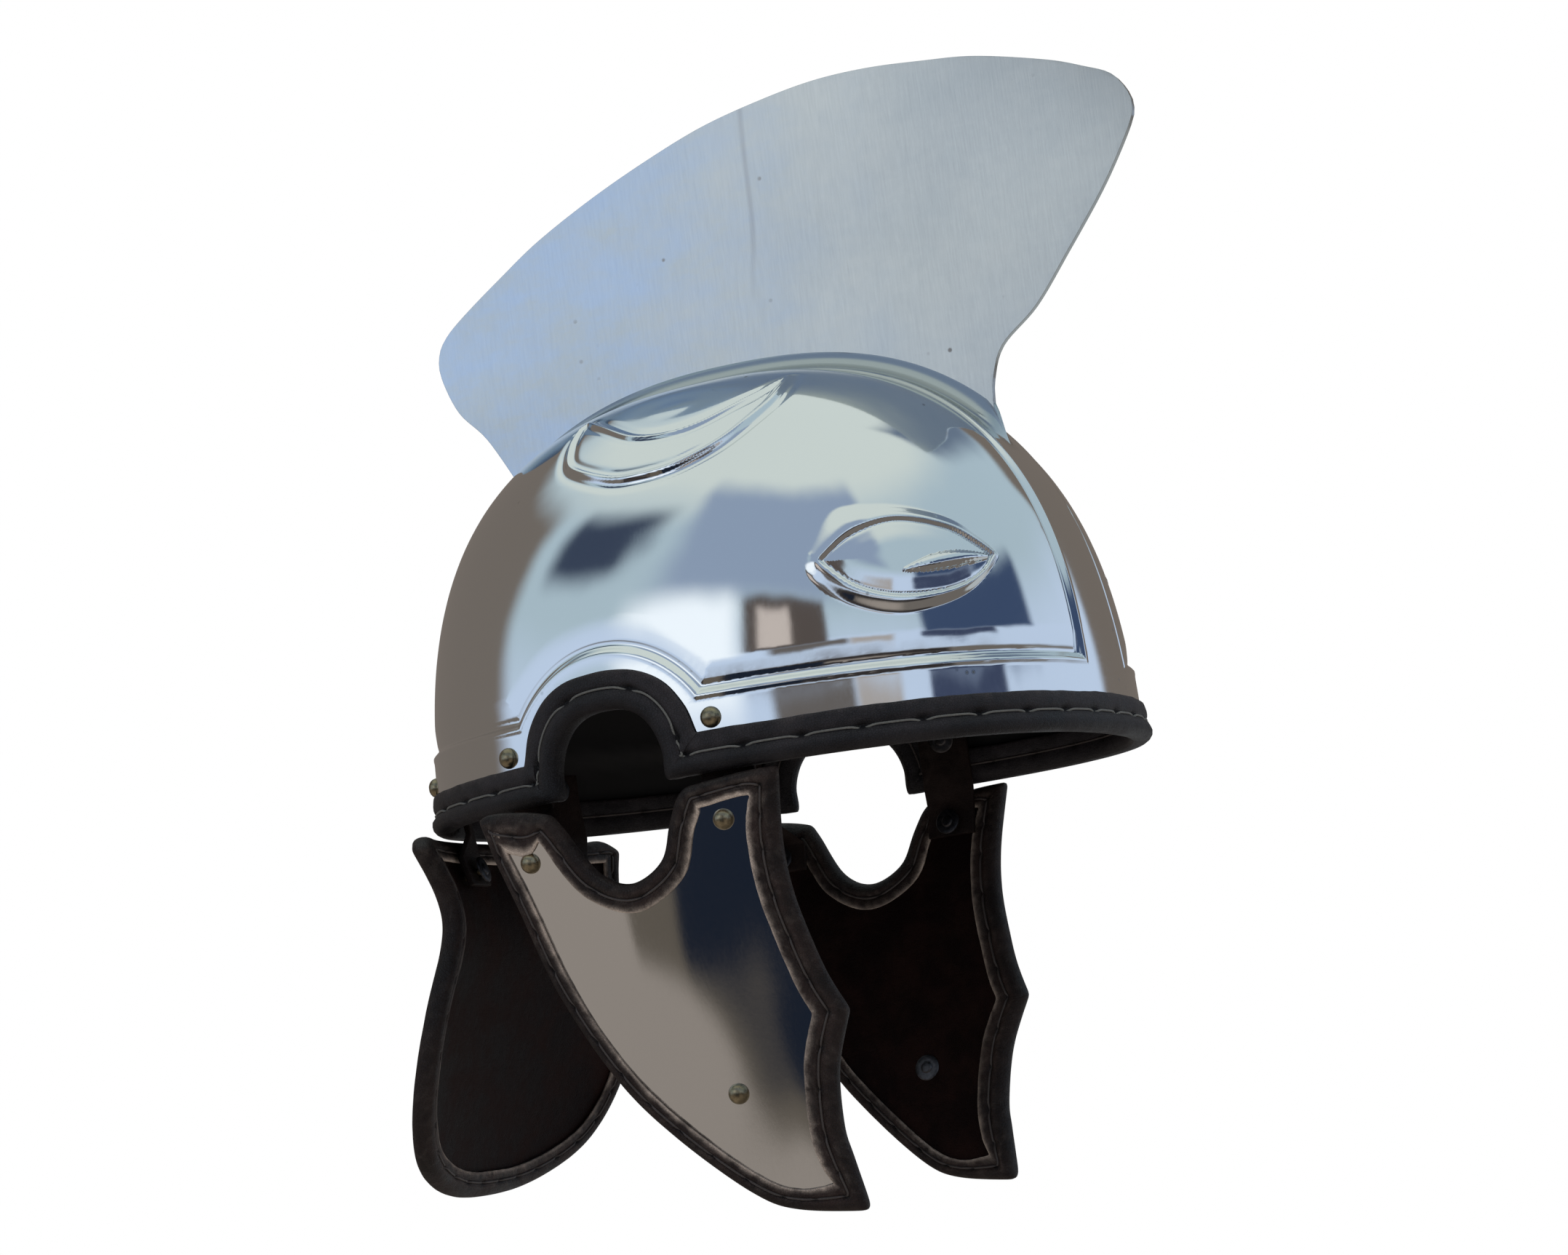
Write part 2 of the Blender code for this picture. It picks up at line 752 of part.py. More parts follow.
def bent_sheet(name, outline, place, top, bottom, grid, finish):
    """A sheet cut to an outline and bent: place(across, up, depth) gives each point in space."""
    bm = bmesh.new()
    face = bm.faces.new([bm.verts.new((point.x, point.y, 0.0)) for point in outline])
    face.normal_update()
    low = min(point.x for point in outline)
    high = max(point.x for point in outline)
    for step in range(1, grid[0]):
        x = low + (high - low) * step / grid[0]
        cut_line(bm, Vector((x, 0.0, 0.0)), Vector((1.0, 0.0, 0.0)))
    low = min(point.y for point in outline)
    high = max(point.y for point in outline)
    for step in range(1, grid[1]):
        y = low + (high - low) * step / grid[1]
        cut_line(bm, Vector((0.0, y, 0.0)), Vector((0.0, 1.0, 0.0)))
    bmesh.ops.triangulate(bm, faces=bm.faces)
    raised = bmesh.ops.extrude_face_region(bm, geom=bm.faces[:])
    for item in raised["geom"]:
        if isinstance(item, bmesh.types.BMVert):
            item.co.z = 1.0
    for vert in bm.verts:
        depth = bottom if vert.co.z > 0.5 else top
        vert.co = place(vert.co.x, vert.co.y, depth)
    return finish_object(name, mesh_from(bm, name), finish)


def edging_strip(name, outline, laps, place, finish):
    """A leather strip folded round the edge of a stack of sheets, with a lap on each face."""
    count = len(outline)
    borders = {
        "edge": outline,
        "fold": inset_outline(outline, [EDGING] * count),
        "lap": inset_outline(outline, laps),
    }
    section = (
        ("lap", 0.0),
        ("edge", 0.0),
        ("edge", STACK),
        ("lap", STACK),
        ("lap", STACK - EDGING),
        ("fold", STACK - EDGING),
        ("fold", EDGING),
        ("lap", EDGING),
    )
    rings = []
    for index in range(count):
        ring = []
        for border, depth in section:
            point = borders[border][index]
            ring.append(place(point.x, point.y, depth))
        rings.append(ring)
    bm = loft(rings, True)
    return finish_object(name, mesh_from(bm, name), finish)


def strap(name, stations, finish="brown_leather"):
    """A flat leather strap through stations: each a point with the ways across it and out of its face."""
    rings = []
    for point, across, out in stations:
        wide = across * STRAP_WIDTH / 2
        thick = out * STRAP_THICKNESS / 2
        rings.append((point - wide - thick, point + wide - thick, point + wide + thick, point - wide + thick))
    bm = loft(rings, False)
    return finish_object(name, mesh_from(bm, name), finish)


def cut_rivet_hole(pieces, name, place, axis):
    """Cut one rivet's hole through each piece it passes."""
    reach = 4 * HEAD_RADIUS
    cutter = peg_cutter(name, place, axis, SHANK_RADIUS + RIVET_CLEARANCE, reach)
    for piece in pieces:
        add_boolean(piece, cutter, "DIFFERENCE")


def cheek_place(side):
    """How a cheek piece's sheet lies: its point at a place along Y, a height and a depth."""

    def place(y, z, depth):
        bend = CHEEK_BEND * (y - CHEEK_BEND_FRONT_Y) * (y - CHEEK_BEND_BACK_Y)
        x = CHEEK_SIDE_X + CHEEK_TURN * y + CHEEK_LEAN * z - bend
        slope_y = CHEEK_TURN - CHEEK_BEND * (2 * y - CHEEK_BEND_FRONT_Y - CHEEK_BEND_BACK_Y)
        out = Vector((1.0, -slope_y, 0.0)).normalized()
        point = Vector((x, y, z)) - out * depth * math.sqrt(1 + CHEEK_LEAN**2)
        return Vector((side * point.x, point.y, point.z))

    return place


def cheek_axis(side, y):
    """The outward normal of a cheek piece."""
    slope_y = CHEEK_TURN - CHEEK_BEND * (2 * y - CHEEK_BEND_FRONT_Y - CHEEK_BEND_BACK_Y)
    return Vector((side, -slope_y, -CHEEK_LEAN)).normalized()


def horizontal(normal):
    """The level part of a direction."""
    return Vector((normal.x, normal.y, 0.0)).normalized()


def strap_stations(wall, low_face, low_axis):
    """A strap's stations from behind a bowl rivet to behind a hanging piece's rivet."""
    upright = Vector((0.0, 0.0, 1.0))
    out = horizontal(bowl_normal(wall))
    inner = wall - out * STRAP_INSET
    low_out = horizontal(low_axis)
    low_up = (upright - low_axis * upright.dot(low_axis)).normalized()
    below = low_face - low_axis * STRAP_BEHIND
    margin = WASHER_RADIUS + EDGE_GAP
    under_rim = Vector((inner.x, inner.y, -STRAP_THICKNESS / 2))
    top_across = upright.cross(out)
    half = abs((top_across * STRAP_WIDTH / 2).dot(low_axis))
    past = (under_rim - below).dot(low_axis) + half
    if past > 0:
        under_rim -= low_out * past / low_out.dot(low_axis)
    low_across = upright.cross(low_out)
    return [
        (inner + upright * margin, top_across, out),
        (inner, top_across, out),
        (inner - upright * margin, top_across, out),
        (under_rim, top_across, out),
        (below + low_up * margin, low_across, low_axis),
        (below, low_across, low_axis),
        (below - low_up * margin, low_across, low_axis),
    ]


def side_pieces(side, word, skull):
    """One cheek piece with its straps and rivets."""
    place = cheek_place(side)
    points = []
    corners = []
    for back, down, _, corner in CHEEK_OUTLINE:
        y = CHEEK_FRONT_Y + back * CHEEK_WIDTH
        points.append(Vector((y, CHEEK_TOP_Z - down * CHEEK_DROP)))
        corners.append(corner)
    lapped = [Vector((p.x, p.y, row[2] * CHEEK_LAP)) for p, row in zip(points, CHEEK_OUTLINE)]
    line = smooth_outline(lapped, corners, OUTLINE_SPACING)
    outline = [Vector((p.x, p.y)) for p in line]
    laps = [p.z for p in line]
    inner = inset_outline(outline, [EDGING + LAYER_GAP] * len(outline))
    plate = bent_sheet(f"cheek_plate_{word}", inner, place, PLATE_TOP, PLATE_TOP + PLATE, (5, 1), "steel")
    backing = bent_sheet(
        f"cheek_backing_{word}",
        inner,
        place,
        BACKING_TOP,
        BACKING_TOP + BACKING,
        (5, 1),
        "brown_leather",
    )
    edging_strip(f"cheek_edging_{word}", outline, laps, place, "brown_leather")

    straps = {}
    for where, bowl_y, (y, z) in (
        ("front", BOWL_RIVET_FRONT_Y, CHEEK_RIVET_FRONT),
        ("back", BOWL_RIVET_BACK_Y, CHEEK_RIVET_BACK),
    ):
        wall = wall_at(bowl_y, BOWL_RIVET_Z, 0.0, side)
        axis = cheek_axis(side, y)
        stations = strap_stations(wall, place(y, z, 0.0), axis)
        out = stations[0][2]
        made = strap(f"cheek_strap_{where}_{word}", stations)
        straps[where] = made
        cut_rivet_hole([skull, made], f"bowl_hole_{where}_{word}", wall, out)
        grip = STRAP_INSET + STRAP_THICKNESS / 2 + 2 * GAP
        rivet(f"bowl_rivet_{where}_{word}", wall + out * GAP, out, grip)

    for where, (y, z) in (
        ("front", CHEEK_RIVET_FRONT),
        ("back", CHEEK_RIVET_BACK),
        ("low", CHEEK_RIVET_LOW),
    ):
        axis = cheek_axis(side, y)
        face = place(y, z, PLATE_TOP)
        held = [plate, backing]
        behind = BACKING_TOP + BACKING
        if where in straps:
            held.append(straps[where])
            behind = STRAP_BACK
        cut_rivet_hole(held, f"cheek_hole_{where}_{word}", face, axis)
        rivet(f"cheek_rivet_{where}_{word}", face + axis * EDGE_GAP, axis, behind - PLATE_TOP + 2 * EDGE_GAP)


def neck_middle_y(z):
    """How far back the middle of the neck guard stands at a height."""
    down = (NECK_TOP_Z - z) / NECK_DROP
    line = smooth_line([Vector(row) for row in NECK_PROFILE], NECK_PROFILE_STEP)
    for before, after in zip(line, line[1:]):
        if down <= after.x or after == line[-1]:
            share = (down - before.x) / (after.x - before.x)
            return NECK_TOP_Y + NECK_FLARE * (before.y + (after.y - before.y) * share)
    return NECK_TOP_Y


def neck_lean(z):
    """How fast the neck guard's middle moves back with height."""
    tiny = 0.03 * NECK_DROP
    return (neck_middle_y(z + tiny) - neck_middle_y(z - tiny)) / (2 * tiny)


def neck_place(x, z, depth):
    """How the neck guard's sheet lies: its point at a place across, a height and a depth."""
    y = neck_middle_y(z) - x * x / (2 * NECK_BEND_RADIUS)
    level_depth = depth * math.sqrt(1 + neck_lean(z) ** 2)
    out = Vector((x / NECK_BEND_RADIUS, 1.0, 0.0)).normalized()
    return Vector((x, y, z)) - out * level_depth


def neck_axis(x, z):
    """The outward normal of the neck guard."""
    return Vector((x / NECK_BEND_RADIUS, 1.0, -neck_lean(z))).normalized()


def neck_pieces(skull):
    """The neck guard with its straps and rivets."""
    half = []
    corners = []
    for out, down, corner in NECK_OUTLINE:
        half.append(Vector((out * NECK_HALF_WIDTH, NECK_TOP_Z - down * NECK_DROP)))
        corners.append(corner)
    line = smooth_outline(half, corners, NECK_SPACING, closed=False)
    other = [Vector((-point.x, point.y)) for point in reversed(line[1:-1])]
    outline = line + other
    inner = inset_outline(outline, [EDGING + LAYER_GAP] * len(outline))
    plate = bent_sheet("neck_plate", inner, neck_place, PLATE_TOP, PLATE_TOP + PLATE, (7, 9), "steel")
    backing = bent_sheet(
        "neck_backing",
        inner,
        neck_place,
        BACKING_TOP,
        BACKING_TOP + BACKING,
        (7, 9),
        "brown_leather",
    )
    edging_strip("neck_edging", outline, [NECK_LAP] * len(outline), neck_place, "brown_leather")
    for side, word in ((-1, "right"), (1, "left")):
        x = side * NECK_STRAP_X
        start = Vector((x, 0.0, BOWL_RIVET_Z))
        wall = on_bowl(start, Vector((0.0, 1.0, 0.0)))
        low_face = neck_place(x, NECK_RIVET_Z, 0.0)
        axis = neck_axis(x, NECK_RIVET_Z)
        stations = strap_stations(wall, low_face, axis)
        out = stations[0][2]
        made = strap(f"neck_strap_{word}", stations)
        cut_rivet_hole([skull, made], f"neck_hole_top_{word}", wall, out)
        grip = STRAP_INSET + STRAP_THICKNESS / 2 + 2 * GAP
        rivet(f"neck_rivet_top_{word}", wall + out * GAP, out, grip)
        face = neck_place(x, NECK_RIVET_Z, PLATE_TOP)
        cut_rivet_hole([plate, backing, made], f"neck_hole_low_{word}", face, axis)
        rivet(f"neck_rivet_low_{word}", face + axis * EDGE_GAP, axis, STRAP_BACK - PLATE_TOP + 2 * EDGE_GAP)


def rim_stations():
    """The rim's edge from the middle of the front round the wearer's right to the back.

    Each station is a point of the edge along Y and up, and the direction into the leather's lap as a share
    along the rim and a share up.
    """
    arch = ear_arch(EAR_Y, EAR_HALF_WIDTH, EAR_HEIGHT, EAR_STEPS)
    stations = []
    front_turn = -math.asin((-arch[0].x / (BOWL_HALF_LENGTH)) ** (PLAN_POWER / 2))
    back_turn = math.asin((arch[-1].x / (BOWL_HALF_LENGTH)) ** (PLAN_POWER / 2))
    for step in range(RIM_STEPS):
        turn = -math.pi / 2 + (front_turn + math.pi / 2) * step / RIM_STEPS
        stations.append((turn, None, 0.0, (0.0, 1.0)))
    path = [Vector((arch[0].x - EAR_HALF_WIDTH, 0.0))] + arch
    path.append(Vector((arch[-1].x + EAR_HALF_WIDTH, 0.0)))
    for index in range(1, len(path) - 1):
        before = (path[index] - path[index - 1]).normalized()
        after = (path[index + 1] - path[index]).normalized()
        first = Vector((-before.y, before.x))
        second = Vector((-after.y, after.x))
        miter = (first + second).normalized()
        miter /= max(0.6, miter.dot(first))
        stations.append((None, path[index].x, path[index].y, (miter.x, miter.y)))
    for step in range(1, RIM_STEPS + 1):
        turn = back_turn + (math.pi / 2 - back_turn) * step / RIM_STEPS
        stations.append((turn, None, 0.0, (0.0, 1.0)))
    return stations


def rim_frame(turn, y):
    """A point of the steel's rim curve on the wearer's right, with the ways out and along it."""
    if turn is None:
        back = math.copysign((abs(y) / BOWL_HALF_LENGTH) ** (PLAN_POWER / 2), y)
        turn = math.asin(back)

    def at(angle):
        back = math.sin(angle)
        out = abs(math.cos(angle)) ** (2 / PLAN_POWER)
        x = -BOWL_HALF_WIDTH * out * (1 - BACK_TAPER * back)
        along = math.copysign(abs(back) ** (2 / PLAN_POWER), back)
        return Vector((x, BOWL_HALF_LENGTH * along, 0.0))

    point = at(turn)
    tiny = 0.002
    low = max(turn - tiny, -math.pi / 2)
    high = min(turn + tiny, math.pi / 2)
    along = (at(high) - at(low)).normalized()
    if abs(abs(turn) - math.pi / 2) < tiny:
        point.x = 0.0
        along = Vector((-1.0 if turn < 0 else 1.0, 0.0, 0.0))
    out = along.cross(Vector((0.0, 0.0, 1.0)))
    if out.dot(point) < 0:
        out = -out
    return point, out, along


def rim_binding():
    """The leather strip folded round the rim and the ear openings."""
    outer = EDGE_GAP + RIM_LEATHER
    roll = 0.3 * RIM_LAP
    section = (
        (RIM_LAP, outer),
        (roll, outer + RIM_ROLL),
        (0.0, outer),
        (0.0, -RIM_INSIDE),
        (roll, -RIM_INSIDE - RIM_ROLL / 2),
        (RIM_LAP, -RIM_INSIDE),
        (RIM_LAP, -RIM_INSIDE + RIM_LEATHER),
        (RIM_LEATHER, -RIM_INSIDE + RIM_LEATHER),
        (RIM_LEATHER, outer - RIM_LEATHER),
        (RIM_LAP, outer - RIM_LEATHER),
    )
    rings = []
    for turn, y, z, (level, up) in rim_stations():
        ring = []
        point, out, along = rim_frame(turn, y)
        for lap, depth in section:
            height = z + lap * up
            lean = (1 - (height / BOWL_HEIGHT) ** SIDE_POWER_UP) ** (1 / SIDE_POWER_OUT)
            base = Vector((point.x * lean, point.y * lean, 0.0))
            place = base + along * lap * level + out * depth
            ring.append(Vector((place.x, place.y, height)))
        rings.append(ring)
    for ring in (rings[0], rings[-1]):
        for point in ring:
            point.x = 0.0
    bm = loft(rings, False)
    ends = [face for face in bm.faces if all(abs(vert.co.x) < 1e-6 for vert in face.verts)]
    bmesh.ops.delete(bm, geom=ends, context="FACES_ONLY")
    bmesh.ops.recalc_face_normals(bm, faces=bm.faces)
    mesh = bpy.data.meshes.new("rim_binding")
    bm.to_mesh(mesh)
    bm.free()
    made = finish_object("rim_binding", mesh, "rim_leather")
    mirror = made.modifiers.new("mirror", "MIRROR")
    mirror.merge_threshold = 0.00005
    return made


def skull():
    """The bowl with its ornament and comb, one welded solid, hollow for the head."""
    made = bowl_outside()
    for side, word in ((-1, "right"), (1, "left")):
        add_boolean(made, ridge(f"eye_ring_{word}", EYE_RING, EYE_RIDGE_HALF_WIDTH, True, side), "UNION")
        add_boolean(made, ridge(f"eye_drop_{word}", EYE_DROP, EYE_RIDGE_HALF_WIDTH, False, side), "UNION")
        for name, table in (("leaf_outer", LEAF_OUTER), ("leaf_inner", LEAF_INNER)):
            leaf = ridge(f"{name}_{word}", table, LEAF_RIDGE_HALF_WIDTH, False, side)
            add_boolean(made, leaf, "UNION")
    add_boolean(made, comb_blade(), "UNION")
    add_boolean(made, bowl_hollow(), "DIFFERENCE")
    add_boolean(made, ear_cutter(), "DIFFERENCE")
    return made


clear_scene()
HELMET = new_collection("late_roman_helmet")
TOOLS = new_collection("cutters")
steel_skull = skull()
rim_binding()
side_pieces(-1, "right", steel_skull)
side_pieces(1, "left", steel_skull)
neck_pieces(steel_skull)
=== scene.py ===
"""Late roman helmet: the dressed pieces of a polished steel ridge helmet with leather-edged hanging pieces.

Metres, +Z up, the face towards -Y, the wearer's right side at -X, the rim's lower edge at z = 0.
"""

import math

import bpy
import numpy as np
from mathutils import Matrix, Vector


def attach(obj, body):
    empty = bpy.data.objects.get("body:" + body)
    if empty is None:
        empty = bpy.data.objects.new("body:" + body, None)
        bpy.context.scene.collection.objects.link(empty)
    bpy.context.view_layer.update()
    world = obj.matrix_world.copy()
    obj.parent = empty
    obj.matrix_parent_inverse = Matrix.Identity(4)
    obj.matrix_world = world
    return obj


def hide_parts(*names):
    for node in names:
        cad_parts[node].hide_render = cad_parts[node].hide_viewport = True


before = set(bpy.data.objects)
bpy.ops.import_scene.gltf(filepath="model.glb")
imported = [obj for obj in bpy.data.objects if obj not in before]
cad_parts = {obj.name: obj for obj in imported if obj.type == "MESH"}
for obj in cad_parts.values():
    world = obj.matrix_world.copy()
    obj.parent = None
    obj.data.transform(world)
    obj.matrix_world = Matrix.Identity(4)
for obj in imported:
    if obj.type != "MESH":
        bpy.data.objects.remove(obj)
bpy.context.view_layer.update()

bl_info = {
    "name": "Late Roman Helmet",
    "version": (1, 0, 0),
    "blender": (4, 5, 0),
    "location": "View3D > Sidebar > Helmet",
    "description": "Builds a polished steel ridge helmet with leather-edged cheek pieces and neck guard",
    "category": "Add Mesh",
}

# Bowl: the powers of its plan and side curves, and how much narrower its back is than its front
PLAN_POWER = 2.36
SIDE_POWER_UP = 2.72
SIDE_POWER_OUT = 2.456
BACK_TAPER = 0.127
# How softly the front half passes into the narrower back half
SIDE_SOFTNESS = 0.2
# How much narrower the crown band gets on its way up, and how much the brow crease rises to the back
CROWN_BAND_TAPER = 0.077
BROW_RISE = 0.010
# Ear openings: middle along Y, power of their curve, and how far below the rim their band is centred
EAR_Y = 0.0175
EAR_POWER = 2.5
EAR_BAND_DROP = 0.004
# Mean distance of the ear band's edge from the middle of its curve, in mm
EAR_BAND_REACH = 47
# The steel's lower edge, and how much wider its ear openings are than the leather's
FLOOR_Z = 0.0019
EDGE_GAP = 0.0024
EAR_MIDDLE = np.array([0.0, EAR_Y, FLOOR_Z])
# Rows and lines of the bowl's grid: out from the comb, down a pressed slope, beside a crease, over the brow
FOOT_ROWS_X = (0.0, 0.0012, 0.0014, 0.0018, 0.0024, 0.0032, 0.0042, 0.0056, 0.0072, 0.009, 0.011)
RAMP_STEPS = (0.0034, 0.0026, 0.0019, 0.0012, 0.0005, -0.0002, -0.0009, -0.0016, -0.0026)
CREASE_LINES = (-0.0034, -0.0022, -0.0014, -0.0007, 0.0, 0.0007, 0.0014, 0.0022, 0.0032, 0.0044)
BROW_SLOPE_LINES = (0.0058, 0.0074, 0.0094, 0.0114)
# Height of the crown over the ears' middle, and the count of rows below the pressed slope
CROWN_RISE = 0.137
EAR_ROWS = 5
# A point in the middle of the bowl's hollow, and the step with which slopes are measured
HOLLOW_MIDDLE = (0.0, 0.0, 0.03)
PROBE = 0.0002
# Points of the rim's line over an ear and round the front or back, and how far a corner starts from the ear
EAR_POINTS = 13
ROUND_POINTS = 16
CORNER_SHARE = 0.55
# Ends of the comb's foot along Y, and how much further its brushed finish runs
COMB_FOOT_ENDS = (-0.100, 0.087)
SATIN_BEYOND = 0.002
# Length of a step along the comb's outline, points along its foot, how deep it is sunk in, size of a cell
COMB_STEP = 0.0025
COMB_FOOT_POINTS = 60
COMB_SUNK = 0.0006
COMB_CELL = 0.008
# The eye's middle, and how many mm on its flat plan a degree of bearing and a mm of height are
EYE_MIDDLE = (43.5, 60.0)
EYE_SCALE = (1.9, 1.12)
# How many mm on the leaf's flat plan a degree of lean is
LEAF_REACH = 2.36
# Where the bowl's faces are divided finely, and into how many cuts
EYE_BEARINGS = (24.5, 63.5)
EYE_HEIGHTS = (0.038, 0.083)
LEAF_PLACES = (-0.051, 0.045)
LEAF_LEANS = (13, 44)
FINE_CUTS = 4
# The pressed eye in mm: lids, ball, the ball's seat and groove; the drop's rise is a share of its radius
EYE_LID = 1.45
EYE_BALL = 1.0
EYE_SEAT = 0.435
EYE_GROOVE = 0.3
EYE_DROP_RISE = 0.62
# Height of the pressed leaf and depth of its lens in mm
LEAF_HEIGHT = 0.9
LENS_DEPTH = 0.9
# Ridges and grooves beside a crease and beside the leaf's outline: height, distance inwards and width in mm
BAND_RIDGES = ((0.25, -1.0, 1.0), (-0.30, 2.1, 1.2))
LEAF_RIDGES = ((0.6, 1.5, 1.2), (-0.45, -1.7, 1.5), (-0.4, 3.6, 1.5))
# Slow unevenness of the bowl, the comb and a hanging plate: depth and length of a wave
BOWL_DENTS = (0.00022, 0.09)
COMB_DENTS = (0.0013, 0.17)
PLATE_DENTS = (0.00025, 0.06)

# Stitch line in from the fold, and the rim thread's sag at a hole, as shares of the lap
STITCH_REACH = 0.54
STITCH_SAG = 0.07
# How far a stitch hole draws the leather in, on the rim and on a hanging piece
RIM_PINCH = 0.0008
EDGE_PINCH = 0.0006
# How much the lap's edge wavers, as a share of the lap, and how uneven the leather's thickness is
RIM_WAVER = 0.042
EDGE_WAVER = 0.035
RIM_UNEVEN = 0.00014
EDGE_UNEVEN = 0.00012
# Length of a step along a folded leather, and the distance below which points are merged
FOLD_STEP = 0.0013
MERGE = 0.00001
# Wear of the leather by its part of the section, and the painted shade that darkens its rolls and folds
WEAR = {"edge": 0.95, "lap": 0.10, "stitch": 0.05, "roll": 0.08, "fold": 0.12, "inside": 0.2}
FOLD_PAINTED_SHADE = {"roll": 0.4, "fold": 0.55}

# Rim binding: lap share up from the fold and depth outside the steel, from the outer free edge round
RIM_SECTION = (
    (1.00, 0.0004, "edge"),
    (1.00, 0.0009, "edge"),
    (0.985, 0.0013, "edge"),
    (0.94, 0.0016, "lap"),
    (0.86, 0.0018, "lap"),
    (0.76, 0.0020, "lap"),
    (0.68, 0.0020, "lap"),
    (0.62, 0.0018, "lap"),
    (0.57, 0.0014, "stitch"),
    (0.53, 0.0011, "stitch"),
    (0.49, 0.0014, "stitch"),
    (0.44, 0.0021, "lap"),
    (0.36, 0.0027, "lap"),
    (0.26, 0.0030, "roll"),
    (0.16, 0.0028, "roll"),
    (0.07, 0.0019, "roll"),
    (0.015, 0.0007, "fold"),
    (0.0, -0.0008, "fold"),
    (0.0, -0.0024, "fold"),
    (0.03, -0.0040, "fold"),
    (0.12, -0.0052, "roll"),
    (0.25, -0.0056, "lap"),
    (0.42, -0.0052, "lap"),
    (0.50, -0.0046, "stitch"),
    (0.53, -0.0045, "stitch"),
    (0.58, -0.0050, "stitch"),
    (0.72, -0.0053, "lap"),
    (0.90, -0.0050, "lap"),
    (0.97, -0.0044, "edge"),
    (0.97, -0.0032, "edge"),
    (0.50, -0.0031, "inside"),
    (0.14, -0.0030, "inside"),
    (0.14, 0.0003, "inside"),
    (0.50, 0.0003, "inside"),
)

# Edging of a hanging piece: lap share in from the fold, depth as a share of the stack, part
EDGE_SECTION = (
    (1.00, 0.235, "edge"),
    (1.00, 0.160, "edge"),
    (0.975, 0.105, "edge"),
    (0.93, 0.075, "lap"),
    (0.84, 0.050, "lap"),
    (0.74, 0.030, "lap"),
    (0.66, 0.030, "lap"),
    (0.60, 0.055, "stitch"),
    (0.56, 0.085, "stitch"),
    (0.52, 0.055, "stitch"),
    (0.45, 0.015, "lap"),
    (0.36, 0.000, "lap"),
    (0.25, 0.020, "roll"),
    (0.14, 0.085, "roll"),
    (0.06, 0.190, "roll"),
    (0.015, 0.330, "fold"),
    (0.0, 0.50, "fold"),
    (0.015, 0.670, "fold"),
    (0.06, 0.810, "roll"),
    (0.14, 0.915, "roll"),
    (0.25, 0.980, "roll"),
    (0.36, 1.000, "lap"),
    (0.45, 0.985, "lap"),
    (0.52, 0.945, "stitch"),
    (0.56, 0.915, "stitch"),
    (0.60, 0.945, "stitch"),
    (0.68, 0.970, "lap"),
    (0.82, 0.955, "lap"),
    (0.93, 0.930, "lap"),
    (0.98, 0.895, "edge"),
    (0.98, 0.800, "edge"),
    (0.50, 0.790, "inside"),
    (0.20, 0.780, "inside"),
    (0.20, 0.240, "inside"),
    (0.50, 0.240, "inside"),
)
# Rows of the two sections that the threads run in
EDGE_OUTER_STITCH = 8
EDGE_INNER_STITCH = 24
RIM_OUTER_STITCH = 9
RIM_INNER_STITCH = 24

# Outline of the comb over the bowl, as shares: back from its front, up from the rim
COMB_OUTLINE = (
    (0.236, 0.458),
    (0.234, 0.486),
    (0.230, 0.520),
    (0.212, 0.564),
    (0.161, 0.609),
    (0.110, 0.675),
    (0.062, 0.740),
    (0.033, 0.785),
    (0.007, 0.832),
    (0.000, 0.855),
    (0.004, 0.879),
    (0.022, 0.908),
    (0.055, 0.927),
    (0.103, 0.949),
    (0.194, 0.978),
    (0.267, 0.990),
    (0.342, 0.999),
    (0.418, 1.000),
    (0.498, 0.990),
    (0.579, 0.973),
    (0.659, 0.945),
    (0.745, 0.908),
    (0.831, 0.863),
    (0.892, 0.822),
    (0.952, 0.779),
    (0.984, 0.751),
    (0.998, 0.725),
    (0.998, 0.691),
    (0.978, 0.634),
    (0.941, 0.585),
    (0.899, 0.500),
)

# The eye's outer edge, its inner almond and its drop: bearing from the front in degrees, height in mm
EYE_OUTER = (
    (60.4, 65.0),
    (54.5, 78.7),
    (47.3, 79.4),
    (40.3, 76.9),
    (33.2, 71.0),
    (27.7, 60.8),
    (28.1, 57.0),
    (34.2, 47.4),
    (41.1, 42.2),
    (47.9, 41.2),
    (55.1, 46.7),
    (59.9, 56.7),
)
EYE_INNER = (
    (57.2, 61.9, True),
    (52.0, 69.0, False),
    (44.7, 72.5, False),
    (36.4, 68.8, False),
    (31.8, 63.4, False),
    (28.8, 59.1, True),
    (32.0, 53.5, False),
    (38.0, 48.8, False),
    (46.2, 48.0, False),
    (52.5, 52.5, False),
)
EYE_DROP = (
    (30.0, 58.6, 0.8),
    (33.0, 58.3, 2.0),
    (37.0, 57.8, 3.0),
    (41.0, 56.8, 2.6),
    (45.0, 55.4, 0.8),
)

# The leaf beside the comb: along Y in mm, lean from upright in degrees, whether it is a corner
LEAF_OUTLINE = (
    (37.0, 23.0, True),
    (36.5, 29.0, False),
    (32.0, 34.5, False),
    (15.0, 39.6, False),
    (0.0, 40.9, False),
    (-15.0, 40.3, False),
    (-30.0, 37.0, False),
    (-41.0, 30.5, False),
    (-43.5, 24.0, False),
    (-42.0, 19.5, True),
    (-38.0, 23.5, False),
    (-33.0, 27.3, False),
    (-20.0, 31.8, False),
    (-7.0, 33.0, False),
    (8.0, 31.4, False),
    (24.0, 25.5, False),
    (32.0, 21.8, False),
)
LENS_MIDDLE = (-2.0, 25.5)
LENS_HALF = (27.0, 6.5)

